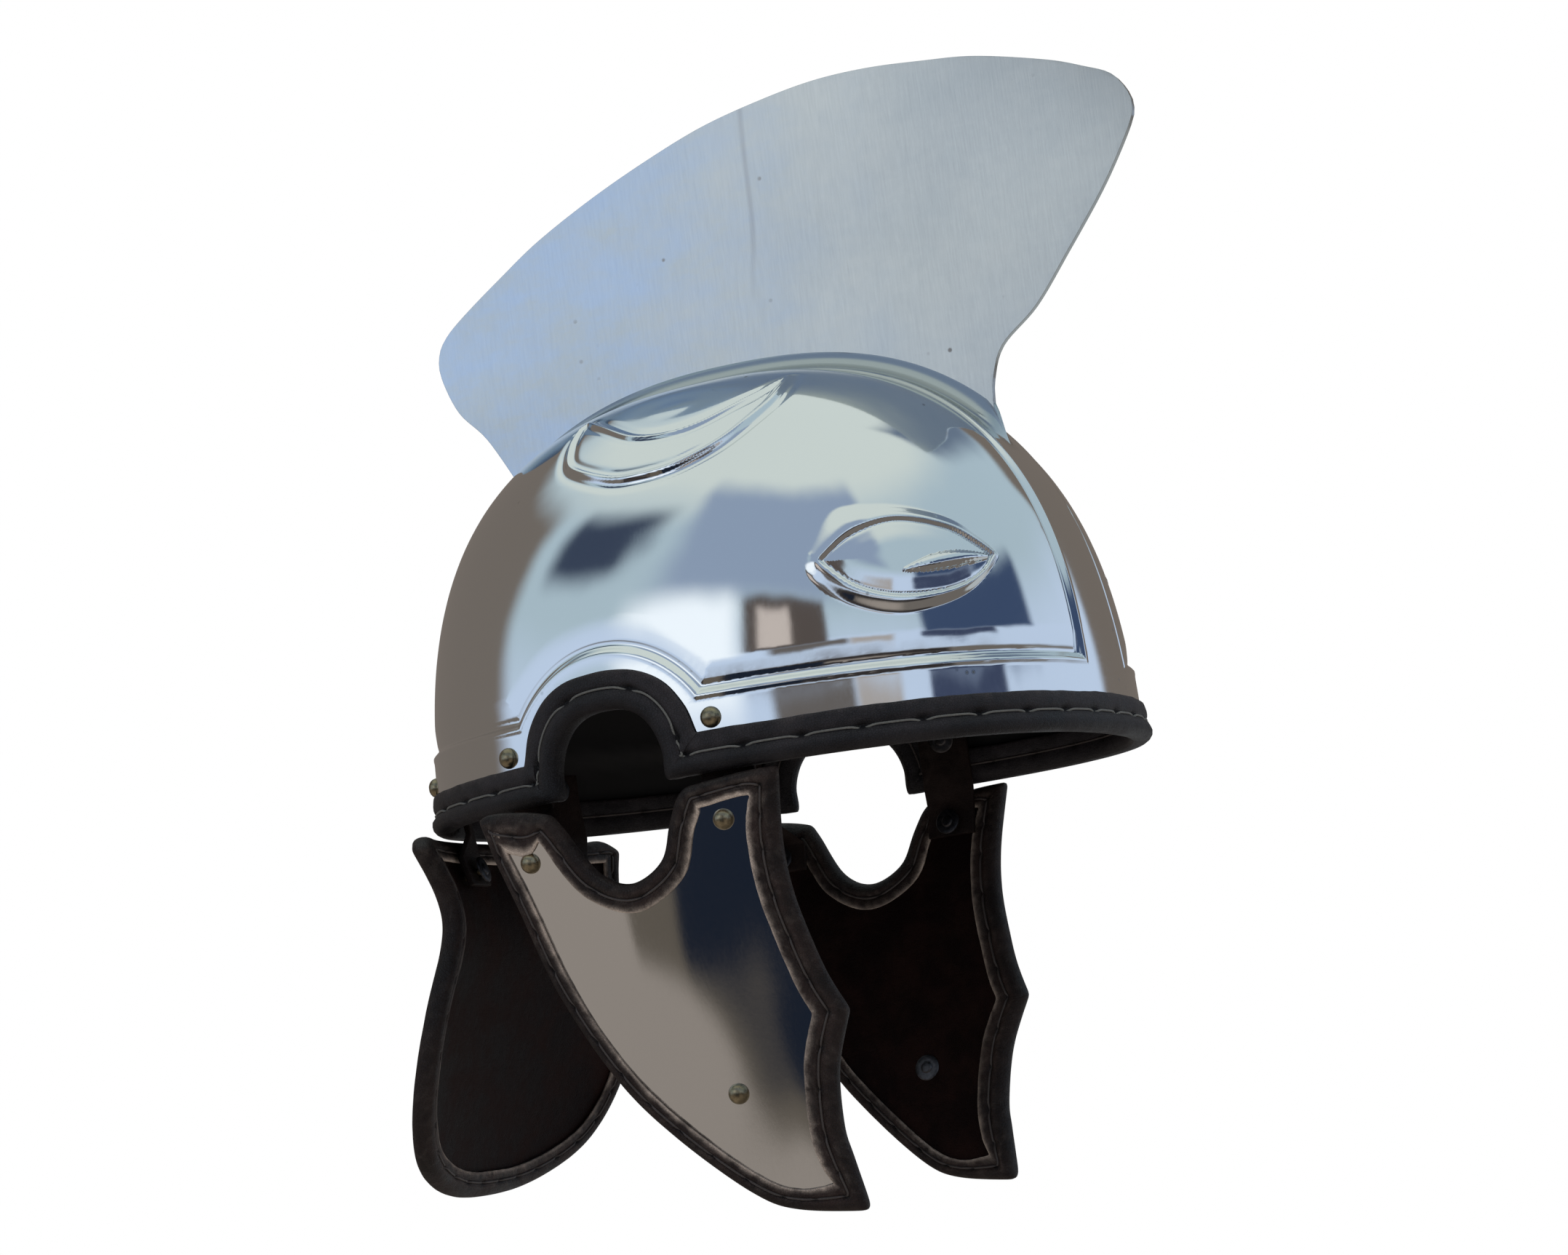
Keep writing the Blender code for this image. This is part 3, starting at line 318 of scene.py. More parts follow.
# Outline of a cheek piece: back and down as shares of its width and drop, lap share, corner
CHEEK_OUTLINE = (
    (0.995, 0.011, 0.72, True),
    (0.955, 0.001, 1.00, False),
    (0.825, 0.012, 1.30, False),
    (0.745, 0.027, 0.85, True),
    (0.717, 0.061, 0.80, False),
    (0.633, 0.170, 0.80, False),
    (0.528, 0.208, 0.80, False),
    (0.416, 0.170, 0.80, False),
    (0.364, 0.092, 0.80, False),
    (0.322, 0.037, 0.80, False),
    (0.288, 0.017, 0.68, True),
    (0.118, 0.003, 0.68, False),
    (0.003, 0.000, 0.90, True),
    (0.041, 0.164, 1.00, False),
    (0.045, 0.278, 1.00, False),
    (0.025, 0.387, 1.00, False),
    (0.001, 0.472, 1.00, False),
    (-0.038, 0.552, 1.00, True),
    (0.031, 0.674, 1.00, False),
    (0.059, 0.806, 1.00, False),
    (0.053, 0.877, 1.00, False),
    (0.036, 1.005, 0.80, True),
    (0.250, 0.982, 0.60, False),
    (0.375, 0.935, 0.60, False),
    (0.573, 0.792, 0.60, False),
    (0.725, 0.644, 0.60, False),
    (0.858, 0.429, 0.60, False),
    (0.925, 0.230, 0.60, False),
    (0.967, 0.112, 0.58, True),
)
# The lowest tips are blunter than the other corners, and the leather is worn near the highest
BLUNT_HEIGHT = 0.014
BLUNT_ROUNDS = 9
WORN_TIP = 0.016

# A cheek piece: its front, top, width and drop
CHEEK_FRONT = -0.0435
CHEEK_TOP = -0.0012
CHEEK_WIDTH = 0.110
CHEEK_DROP = 0.143
# Its sheet: how far out it stands, its slopes to the back and to the foot, its bend and where that is 0
CHEEK_OUT = 0.1151
CHEEK_SLOPE_BACK = 0.095
CHEEK_SLOPE_IN = 0.265
CHEEK_BEND = 1.97
CHEEK_BEND_Y = (-0.0435, 0.0166)

# The neck guard: half its width, its top and drop, where it stands, its flare and the radius of its bend
NECK_HALF_WIDTH = 0.080
NECK_TOP = -0.0018
NECK_DROP = 0.1235
NECK_Y = 0.1205
NECK_FLARE = 0.0205
NECK_RADIUS = 0.28
# How far back the neck guard's middle stands, as a share of its flare, down from its top to its lowest
NECK_PROFILE = (
    (0.00, 0.00),
    (0.24, -0.33),
    (0.48, 0.04),
    (0.73, 0.52),
    (1.00, 1.00),
)

# Half outline of the neck guard: out and down as shares of its half width and drop, corner
NECK_OUTLINE = (
    (0.00, 0.000, False),
    (0.25, 0.000, False),
    (0.50, 0.000, False),
    (0.75, -0.002, False),
    (0.88, -0.005, False),
    (0.97, 0.030, True),
    (0.90, 0.100, False),
    (0.85, 0.170, False),
    (0.845, 0.235, False),
    (0.880, 0.300, False),
    (0.950, 0.410, False),
    (1.000, 0.540, False),
    (0.995, 0.650, False),
    (0.945, 0.755, False),
    (0.850, 0.845, False),
    (0.720, 0.910, False),
    (0.520, 0.960, False),
    (0.270, 0.992, False),
    (0.00, 1.000, False),
)

# How far inside the fold the sheets end, and about how many points their outline keeps
SHEET_INSET = 0.0022
SHEET_POINTS = 240
# Sheets inside an edging: node, middle as a share of the stack, thickness, finish, slot, size of a cell
EDGED_SHEETS = (
    ("plate", 0.33, 0.0013, "polished plate steel", "steel", 0.004),
    ("backing", 0.62, 0.0018, "backing leather", "brown_leather", 0.006),
)
STRAP_KINDS = ("cheek_strap_front", "cheek_strap_back", "neck_strap")
# How much and in what length of a wave the straps' wear changes
STRAP_WEAR = (0.2, 0.02)

# Rivets: height on the bowl, places on the hanging pieces, and how deep under the outer face they sit there
BOWL_RIVET_Z = 0.0174
BOWL_RIVET_Y = {"front": -0.0221, "back": 0.0589}
CHEEK_RIVETS = {"front": (-0.0221, -0.0155), "back": (0.0493, -0.0192), "low": (-0.0053, -0.1021)}
NECK_RIVET_X = 0.041
NECK_RIVET_Z = -0.016
RIVET_SEAT = 0.0020
# How long a rivet's shank is behind its face: in the bowl, in an edged piece with a strap and without one
BOWL_GRIP = 0.009
STRAP_GRIP = 0.0102
LOW_GRIP = 0.0032
# Turned profiles: out as a share of the radius, up from the face
RIVET_HEAD = (
    (0.0, 0.0030),
    (0.28, 0.00292),
    (0.55, 0.00258),
    (0.78, 0.00198),
    (0.92, 0.00122),
    (0.985, 0.00055),
    (1.0, 0.0002),
    (0.97, 0.0),
    (0.4, -0.0002),
)
RIVET_SHANK = 0.38
WASHER_RING = (
    (0.0, -0.0010),
    (0.30, -0.0012),
    (0.42, -0.0010),
    (0.46, -0.0006),
    (0.60, -0.0005),
    (0.90, -0.0007),
    (1.0, -0.0004),
    (1.0, 0.0002),
    (0.0, 0.0003),
)
WASHER_GAP = 0.0002

# Point that the camera looks at, and the width of its sensor in mm
CAMERA_AIM = (0.0, -0.0067, 0.0561)
SENSOR_WIDTH = 36.0
# Soft lights: name, place, size, power
STUDIO_LIGHTS = (
    ("key_light", (-0.9, -0.9, 1.4), 0.9, 9.0),
    ("back_light", (1.2, 0.8, 1.2), 1.0, 6.0),
)
# Cards that the steel reflects: bearing, height, half width, half height, softness in degrees, slant, colour
STUDIO_CARDS = (
    ("window wall", -84, 41, 42, 17, 9, 0.0, (0.30, 0.38, 0.52)),
    ("window light", -118, 16, 11, 9, 8, 0.0, (1.05, 1.12, 1.20)),
    ("dark shelf", -146, 39, 12, 8, 7.5, 0.10, (0.045, 0.062, 0.105)),
    ("blue doorway", 4, 16, 32, 6.5, 5, 0.0, (0.050, 0.080, 0.16)),
    ("blue step", -8, 7, 21, 3, 3, 0.0, (0.050, 0.066, 0.125)),
    ("tan step", -55, 7, 11, 3.3, 5, 0.0, (0.44, 0.405, 0.39)),
    ("low shelf", -82, 7, 15, 3.5, 4, 0.0, (0.14, 0.125, 0.118)),
    ("far roof", 76, 44, 34, 10, 8, -0.34, (0.15, 0.20, 0.28)),
    ("right wall", 88.5, 10, 19, 27, 4, 0.45, (0.185, 0.158, 0.138)),
    ("back wall", 150, 18, 42, 26, 9, 0.0, (0.185, 0.160, 0.142)),
    ("picture frame", -90, 17, 15, 7, 3, 0.0, (0.10, 0.082, 0.075)),
    ("picture", -95, 17, 6, 4, 2, 0.0, (0.62, 0.54, 0.50)),
    ("dark skirting", -75, -8, 60, 6, 5, 0.0, (0.035, 0.030, 0.030)),
    ("pale floor", -120, -40, 80, 27, 12, 0.0, (0.34, 0.295, 0.262)),
    ("pale bench", 72, -19, 42, 13, 8, 0.0, (0.50, 0.53, 0.55)),
    ("floor band", -100, -17.5, 20, 12, 2, -0.36, (0.130, 0.110, 0.090)),
    ("navy cloth", -94, -16.6, 17, 12.2, 1.8, -0.24, (0.012, 0.017, 0.030)),
)


def length(name, text, default):
    """A length that a user may change, in metres."""
    return bpy.props.FloatProperty(
        name=name,
        description=text,
        default=default,
        precision=4,
        subtype="DISTANCE",
        unit="LENGTH",
    )


def share(name, text, default):
    """A plain number that a user may change."""
    return bpy.props.FloatProperty(name=name, description=text, default=default, precision=3)


def colour(name, text, default):
    """A colour that a user may change."""
    return bpy.props.FloatVectorProperty(
        name=name,
        description=text,
        default=default,
        size=3,
        subtype="COLOR",
        min=0.0,
        max=1.0,
    )


class HelmetSizes(bpy.types.PropertyGroup):
    """Sizes of the steel and the leather."""

    bowl_half_length: length("Bowl half length", "Half the length of the bowl outside", 0.122)
    bowl_half_width: length("Bowl half width", "Half the width of the bowl outside", 0.1076)
    bowl_height: length("Bowl height", "Height of the bowl over the rim", 0.1445)
    steel: length("Steel thickness", "Thickness of the pressed sheet", 0.0013)
    panel_depth: length("Panel depth", "How deep the side panels are pressed", 0.0015)
    crown_band: length("Crown band", "Half width of the raised band over the crown", 0.0215)
    brow_height: length("Brow height", "Height of the crease over the brow", 0.0262)
    ear_band_width: length("Ear band half width", "Half width of the raised band round an ear", 0.045)
    ear_band_height: length("Ear band height", "Top of the raised band round an ear", 0.0455)
    ear_width: length("Ear half width", "Half width of an ear opening", 0.0215)
    ear_height: length("Ear height", "Height of an ear opening", 0.026)
    foot_radius: length("Comb foot", "Radius of the flare at the comb's foot", 0.008)
    comb_top: length("Comb top", "Height of the comb's top over the rim", 0.2445)
    comb_front: length("Comb front", "How far forward the comb reaches", 0.159)
    comb_length: length("Comb length", "Length of the comb", 0.273)
    comb_thickness: length("Comb thickness", "Thickness of the comb's blade", 0.0024)
    rim_lap: length("Rim lap", "Height of the leather on the rim", 0.0132)
    rim_stitch: length("Rim stitch", "Distance between two holes of the rim's stitching", 0.0195)
    cheek_lap: length("Cheek lap", "Width of the leather round a cheek piece", 0.011)
    edge_stitch: length("Edge stitch", "Distance between two holes round a hanging piece", 0.0135)
    neck_lap: length("Neck lap", "Width of the leather round the neck guard", 0.0085)
    stack: length("Edge thickness", "Thickness of an edged piece", 0.0074)
    rivet_radius: length("Rivet radius", "Radius of a rivet's head", 0.0035)
    washer_radius: length("Washer radius", "Radius of a washer", 0.0047)
    thread: length("Thread", "Radius of the thread", 0.00042)


class HelmetColours(bpy.types.PropertyGroup):
    """Colours of the helmet."""

    steel: colour("Polished steel", "Colour of the polished bowl", (0.80, 0.82, 0.82))
    comb: colour("Brushed steel", "Colour of the brushed comb", (0.415, 0.455, 0.47))
    # The bowl's inside is dark steel, made near black partly as painted shade for the shade inside the bowl.
    inside: colour("Steel inside", "Colour of the bowl's inside", (0.007, 0.007, 0.0072))
    rim_leather: colour("Rim leather", "Colour of the rim's leather", (0.0150, 0.0130, 0.0150))
    brown_leather: colour("Brown leather", "Colour of the edging's leather", (0.0165, 0.0092, 0.0076))
    pale_edge: colour("Leather edge", "Colour of the worn, frayed leather edges", (0.42, 0.33, 0.27))
    # The backing leather is dark brown, made darker still as painted shade for the shade inside the edged
    # pieces.
    backing: colour("Backing leather", "Colour of the leather inside", (0.0085, 0.0034, 0.0027))
    rim_thread: colour("Rim thread", "Colour of the rim's thread", (0.10, 0.095, 0.085))
    dark_thread: colour("Dark thread", "Colour of the edging's thread", (0.034, 0.026, 0.023))
    brass: colour("Brass", "Colour of the rivets", (0.40, 0.34, 0.22))
    washer: colour("Washer", "Colour of the washers", (0.16, 0.16, 0.17))


class HelmetStage(bpy.types.PropertyGroup):
    """The camera, floor and light."""

    azimuth: share("Azimuth", "Camera's bearing round the helmet in degrees", -67.66)
    elevation: share("Elevation", "Camera's height over the horizon in degrees", -7.138)
    roll: share("Roll", "Camera's roll in degrees", -7.712)
    distance: length("Distance", "Camera's distance", 1.3166)
    lens: share("Lens", "Focal length in millimetres on a 36 mm sensor", 86.66)
    floor: length("Floor height", "Height of the floor", -0.46)
    light: share("Light", "Strength of the studio light", 1.0)


def sizes():
    """The sizes in this scene."""
    return bpy.context.scene.helmet_sizes


def colours():
    """The colours in this scene."""
    return bpy.context.scene.helmet_colours


def smooth_step(value):
    """0 below 0, 1 above 1 and a smooth rise between."""
    held = np.clip(value, 0.0, 1.0)
    return held * held * (3 - 2 * held)


def hump(value, place, width):
    """A smooth bump of height 1 about a place."""
    return np.exp(-(((value - place) / width) ** 2))


def plan_level(x, y):
    """Size of the bowl's plan curve through points, 1 on the curve at the rim."""
    half_width = sizes().bowl_half_width
    along = np.abs(y) / sizes().bowl_half_length
    level = ((np.abs(x) / half_width) ** PLAN_POWER + along**PLAN_POWER) ** (1 / PLAN_POWER)
    for _ in range(3):
        level = np.maximum(level, 1e-9)
        behind = np.minimum(1.0, along / level)
        back = np.sign(y) * behind * (behind**2 + SIDE_SOFTNESS**2) ** (PLAN_POWER / 4 - 0.5)
        across = np.abs(x) / (half_width * (1 - BACK_TAPER * back))
        level = (across**PLAN_POWER + along**PLAN_POWER) ** (1 / PLAN_POWER)
    return level


def bowl_level(points):
    """1 on the bowl's surface, less inside it."""
    up = np.maximum(points[..., 2], 0.0) / sizes().bowl_height
    return plan_level(points[..., 0], points[..., 1]) ** SIDE_POWER_OUT + up**SIDE_POWER_UP


def furthest(holds, shape, limit, rounds):
    """The largest values from 0 to a limit for which a test holds, found by halving."""
    near = np.zeros(shape)
    far = np.full(shape, limit)
    for _ in range(rounds):
        middle = (near + far) / 2
        held = holds(middle)
        near = np.where(held, middle, near)
        far = np.where(held, far, middle)
    return near


def on_bowl(starts, rays):
    """Where rays from inside the bowl meet its surface."""

    def inside(reach):
        return bowl_level(starts + rays * reach[..., None]) < 1

    reach = furthest(inside, rays.shape[:-1], 2 * sizes().bowl_height, 28)
    return starts + rays * reach[..., None]


def bowl_normals(points):
    """Outward normals of the bowl at points."""
    slopes = np.zeros(points.shape)
    for axis in range(3):
        shift = np.zeros(3)
        shift[axis] = PROBE
        slopes[..., axis] = bowl_level(points + shift) - bowl_level(points - shift)
    return slopes / np.linalg.norm(slopes, axis=-1, keepdims=True)


def smooth_line(points, counts):
    """A smooth curve through rows of numbers, with a count of steps for each stretch, and its last point."""
    points = np.asarray(points, float)
    last = len(points) - 1
    line = []
    for index in range(last):
        before = points[max(index - 1, 0)]
        here = points[index]
        after = points[index + 1]
        beyond = points[min(index + 2, last)]
        t = (np.arange(counts[index]) / counts[index])[:, None]
        line.append(
            0.5
            * (
                2 * here
                + (after - before) * t
                + (2 * before - 5 * here + 4 * after - beyond) * t**2
                + (3 * here - before - 3 * after + beyond) * t**3
            )
        )
    line.append(points[-1:])
    return np.concatenate(line)


def smooth_loop(rows, corners, spacing):
    """A closed outline that runs smoothly from one corner to the next, in steps of about one spacing."""
    rows = np.asarray(rows, float)
    start = corners.index(True) if True in corners else 0
    order = [(start + step) % len(rows) for step in range(len(rows) + 1)]
    line = []
    stretch = []
    for place, index in enumerate(order):
        stretch.append(rows[index])
        ends = corners[index] or place == len(order) - 1
        if ends and len(stretch) > 1:
            gaps = [np.linalg.norm((b - a)[:2]) for a, b in zip(stretch, stretch[1:])]
            counts = [max(1, round(gap / spacing)) for gap in gaps]
            line.append(smooth_line(stretch, counts)[:-1])
            stretch = [rows[index]]
    return np.concatenate(line)


def loop_distance(points, outline):
    """Distance of flat points from a closed outline, positive inside."""
    nearest = np.full(len(points), 1e9)
    inside = np.zeros(len(points), bool)
    for a, b in zip(outline, np.roll(outline, -1, axis=0)):
        edge = b - a
        reach = np.clip(((points - a) @ edge) / max(edge @ edge, 1e-12), 0, 1)
        gap = np.linalg.norm(points - a - reach[:, None] * edge, axis=1)
        nearest = np.minimum(nearest, gap)
        crosses = (a[1] > points[:, 1]) != (b[1] > points[:, 1])
        rise = b[1] - a[1] if abs(b[1] - a[1]) > 1e-12 else 1e-12
        inside ^= crosses & (points[:, 0] < a[0] + edge[0] * (points[:, 1] - a[1]) / rise)
    return np.where(inside, nearest, -nearest)


def eye_plane(bearing, height):
    """Flat place of a bearing and a height in the eye's neighbourhood, in mm."""
    return np.stack([(bearing - EYE_MIDDLE[0]) * EYE_SCALE[0], (height - EYE_MIDDLE[1]) * EYE_SCALE[1]], -1)


def bearing_of(points):
    """Bearing of points from the front in degrees, the same on both sides."""
    return np.degrees(np.arctan2(np.abs(points[:, 0]), -points[:, 1]))


def lean_of(points):
    """Lean of points from upright in degrees, the same on both sides."""
    return np.degrees(np.arctan2(np.abs(points[:, 0]), points[:, 2]))


def ridges(distance, rows):
    """Rounded ridges and grooves beside a line, from rows of height, distance and width."""
    return sum(height * hump(distance, place, width) for height, place, width in rows)


def eye_relief(points):
    """Height in mm of the pressed eye: lids between two outlines, a ball inside them and a drop on it."""
    place = eye_plane(bearing_of(points), points[:, 2] * 1000)
    close = (np.abs(place[:, 0]) < 42) & (np.abs(place[:, 1]) < 28)
    height = np.zeros(len(points))
    place = place[close]
    outer = np.array([eye_plane(*row) for row in EYE_OUTER])
    outer = smooth_loop(outer, [False] * len(outer), 1.5)
    inner = np.array([eye_plane(*row[:2]) for row in EYE_INNER])
    inner = smooth_loop(inner, [row[2] for row in EYE_INNER], 1.5)
    from_outer = loop_distance(place, outer)
    from_inner = loop_distance(place, inner)
    over = np.clip(from_outer, 0, None) / np.maximum(from_outer - from_inner, 0.001)
    lid = EYE_LID * smooth_step(over / 0.78) * (0.3 + 0.7 * smooth_step((1 - over) / 0.2))
    lid = np.where((from_outer > 0) & (from_inner <= 0), lid, 0.0)
    ball = EYE_SEAT - EYE_GROOVE * np.exp(-from_inner / 0.8) + EYE_BALL * (1 - hump(from_inner, 0.0, 5.5))
    ball = np.where(from_inner > 0, ball, -EYE_GROOVE * np.exp(from_inner / 0.7))
    ball = np.where(from_outer > 0, ball, 0.0)
    drop = np.zeros(len(place))
    line = smooth_line([(*eye_plane(b, h), r) for b, h, r in EYE_DROP], [8] * (len(EYE_DROP) - 1))
    for row in line:
        gap = np.linalg.norm(place - row[:2], axis=1)
        drop = np.maximum(drop, EYE_DROP_RISE * row[2] * np.sqrt(np.clip(1 - (gap / row[2]) ** 2, 0, 1)))
    height[close] = lid + ball + drop
    return height


def leaf_relief(points):
    """Height of the pressed leaf beside the comb in mm."""
    lean = lean_of(points)
    place = np.stack([points[:, 1] * 1000, lean * LEAF_REACH], -1)
    close = (np.abs(place[:, 0]) < 56) & (lean > 10) & (lean < 48) & (points[:, 2] > 0.06)
    height = np.zeros(len(points))
    place = place[close]
    outline = np.array([(y, turn * LEAF_REACH) for y, turn, _ in LEAF_OUTLINE])
    outline = smooth_loop(outline, [row[2] for row in LEAF_OUTLINE], 1.5)
    inside = loop_distance(place, outline)
    leaf = LEAF_HEIGHT * smooth_step((inside + 0.8) / 2.6) + ridges(inside, LEAF_RIDGES)
    middle = np.array([LENS_MIDDLE[0], LENS_MIDDLE[1] * LEAF_REACH])
    half = np.array([LENS_HALF[0], LENS_HALF[1] * LEAF_REACH])
    lens = np.linalg.norm((place - middle) / half, axis=1)
    height[close] = leaf - LENS_DEPTH * smooth_step((1.1 - lens) / 0.8) * smooth_step(0.5 - inside)
    return height


def band_relief(points):
    """Height in mm of the panels pressed in between the raised bands."""
    mm = points * 1000
    brow_height = sizes().brow_height * 1000
    crown = np.abs(mm[:, 0]) - (sizes().crown_band * 1000 - CROWN_BAND_TAPER * (mm[:, 2] - brow_height))
    brow = mm[:, 2] - brow_height - BROW_RISE * mm[:, 1]
    across = (mm[:, 1] - EAR_Y * 1000) / (sizes().ear_band_width * 1000)
    up = (mm[:, 2] + EAR_BAND_DROP * 1000) / ((sizes().ear_band_height + EAR_BAND_DROP) * 1000)
    ear = (np.hypot(across, up) - 1) * EAR_BAND_REACH
    low = np.minimum(brow, ear)
    near = np.minimum(crown, low)
    height = -1000 * sizes().panel_depth * smooth_step((near + 0.9) / 2.8)
    height += ridges(near, BAND_RIDGES)
    return height + 0.7 * smooth_step((low - 2.0) / 9.0) * smooth_step((near + 0.5) / 3.0)


def from_foot_end(points):
    """Distance along Y from the nearer end of the comb's foot, more than 0 on the foot."""
    front, back = COMB_FOOT_ENDS
    return np.minimum(points[:, 1] - front, back - points[:, 1])


def foot_relief(points):
    """Height in mm of the comb's flared foot."""
    radius = sizes().foot_radius
    beside = np.clip(np.abs(points[:, 0]) - sizes().comb_thickness / 2, 0, None)
    rest = np.clip(radius - beside, 0, radius)
    rise = radius - np.sqrt(np.clip(radius**2 - rest**2, 0, None))
    return 1000 * rise * smooth_step(from_foot_end(points) / 0.012) * (points[:, 2] > 0.05)


def comb_foot_satin(points):
    """How far the brushed finish of the comb runs down its foot."""
    beside = smooth_step((0.008 - np.abs(points[:, 0])) / 0.005)
    ends = smooth_step((from_foot_end(points) + SATIN_BEYOND) / 0.008)
    return beside * ends * (points[:, 2] > 0.06)


def dents(points, waves, seed):
    """Slow uneven waves over a surface, from their depth and length."""
    depth, size = waves
    mixed = np.zeros(points.shape[:-1])
    source = np.random.default_rng(seed)
    for _ in range(5):
        way = source.normal(size=3)
        way /= np.linalg.norm(way)
        mixed += np.sin(points @ way * 2 * math.pi / size + source.uniform(0, 2 * math.pi))
    return depth * (mixed / 3)


def deselect():
    """Leave nothing selected."""
    bpy.ops.object.select_all(action="DESELECT")


def pick(piece):
    """Select one piece alone."""
    deselect()
    piece.select_set(True)
    bpy.context.view_layer.objects.active = piece


def edit(piece):
    """Open a piece in edit mode with all of it selected."""
    pick(piece)
    bpy.ops.object.mode_set(mode="EDIT")
    bpy.ops.mesh.select_all(action="SELECT")


def leave_edit():
    """Back to object mode."""
    bpy.ops.object.mode_set(mode="OBJECT")


def named(name):
    """Name the piece that was just added."""
    piece = bpy.context.object
    piece.name = name
    piece.data.name = name
    return piece


def vertex_places(piece):
    """All of a piece's points as rows."""
    flat = np.zeros(len(piece.data.vertices) * 3)
    piece.data.vertices.foreach_get("co", flat)
    return flat.reshape(-1, 3)


def place_vertices(piece, points):
    """Put a piece's points where the rows say."""
    piece.data.vertices.foreach_set("co", np.ascontiguousarray(points).ravel())
    piece.data.update()


def add_values(piece, name, values):
    """Keep a number for each point on the piece."""
    layer = piece.data.attributes.new(name, "FLOAT", "POINT")
    layer.data.foreach_set("value", np.ascontiguousarray(values, np.float32))


def grid_piece(name, columns, rows):
    """A flat grid with its points in rows, and the column and row of each point."""
    deselect()
    bpy.ops.mesh.primitive_grid_add(x_subdivisions=columns, y_subdivisions=rows, size=1.0)
    piece = named(name)
    flat = vertex_places(piece)
    column = np.rint((flat[:, 0] + 0.5) * columns).astype(int)
    row = np.rint((flat[:, 1] + 0.5) * rows).astype(int)
    return piece, column, row


def close_up(piece, inside=False, merge=MERGE):
    """Merge what meets and turn all faces outwards, or inwards."""
    edit(piece)
    bpy.ops.mesh.remove_doubles(threshold=merge)
    bpy.ops.mesh.normals_make_consistent(inside=inside)
    leave_edit()


def apply_modifier(piece, kind, **settings):
    """Add a modifier with its settings and apply it."""
    pick(piece)
    made = piece.modifiers.new(kind.lower(), kind)
    for key, value in settings.items():
        setattr(made, key, value)
    bpy.ops.object.modifier_apply(modifier=made.name)


def finish_piece(piece, material, slot, replaced=(), smooth=40):
    """Dress a piece, let it ride on the helmet and stand for CAD nodes."""
    pick(piece)
    if smooth >= 180:
        bpy.ops.object.shade_smooth()
    else:
        bpy.ops.object.shade_smooth_by_angle(angle=math.radians(smooth))
    piece.data.materials.clear()
    piece.data.materials.append(material)
    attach(piece, "root")
    if replaced:
        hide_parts(*replaced)
    return piece


def round_edges(piece, width, segments):
    """Round the sharp edges of a piece a little."""
    turn = math.radians(50)
    apply_modifier(piece, "BEVEL", width=width, segments=segments, limit_method="ANGLE", angle_limit=turn)


def feed(tree, sockets, feeds):
    """Link sockets to other sockets, or give them numbers, vectors or colours of their own."""
    for key, value in feeds.items():
        socket = sockets[key]
        if isinstance(value, bpy.types.NodeSocket):
            tree.links.new(value, socket)
        elif socket.type == "RGBA":
            socket.default_value = (*value[:3], 1.0)
        else:
            socket.default_value = value


def node(tree, kind, place, feeds=None, **settings):
    """A shader node at a place, with its settings and what feeds it."""
    made = tree.nodes.new(kind)
    made.location = place
    for key, value in settings.items():
        setattr(made, key, value)
    feed(tree, made.inputs, feeds or {})
    return made


def sum_node(tree, operation, place, *values, clamp=False):
    """A Math node fed by sockets or numbers."""
    feeds = dict(enumerate(values))
    return node(tree, "ShaderNodeMath", place, feeds, operation=operation, use_clamp=clamp).outputs[0]


def vector_node(tree, operation, place, feeds):
    """A Vector Math node fed by sockets, vectors or a scale."""
    return node(tree, "ShaderNodeVectorMath", place, feeds, operation=operation).outputs["Vector"]


def mix_colours(tree, place, factor, first, second, blend="MIX"):
    """A colour mix fed by sockets or colours."""
    feeds = {0: factor, 6: first, 7: second}
    return node(tree, "ShaderNodeMix", place, feeds, data_type="RGBA", blend_type=blend).outputs[2]


def ramp(tree, place, factor, low, high):
    """0 below low, 1 above high."""
    feeds = {"Value": factor, "From Min": low, "From Max": high}
    return node(tree, "ShaderNodeMapRange", place, feeds, interpolation_type="SMOOTHSTEP").outputs["Result"]


def noise(tree, place, where, **feeds):
    """The outputs of a noise texture read at a vector."""
    return node(tree, "ShaderNodeTexNoise", place, {"Vector": where, **feeds}, noise_dimensions="3D").outputs


def own_place(tree, place):
    """The place on the piece itself."""
    return node(tree, "ShaderNodeTexCoord", place).outputs["Object"]


def new_group(name, inputs, outputs):
    """A shader node group with named sockets."""
    group = bpy.data.node_groups.new(name, "ShaderNodeTree")
    for label, kind, default in inputs:
        group.interface.new_socket(label, in_out="INPUT", socket_type=kind).default_value = default
    for label, kind in outputs:
        group.interface.new_socket(label, in_out="OUTPUT", socket_type=kind)
    source = node(group, "NodeGroupInput", (-1000, 0))
    result = node(group, "NodeGroupOutput", (600, 0))
    return group, source.outputs, result.inputs


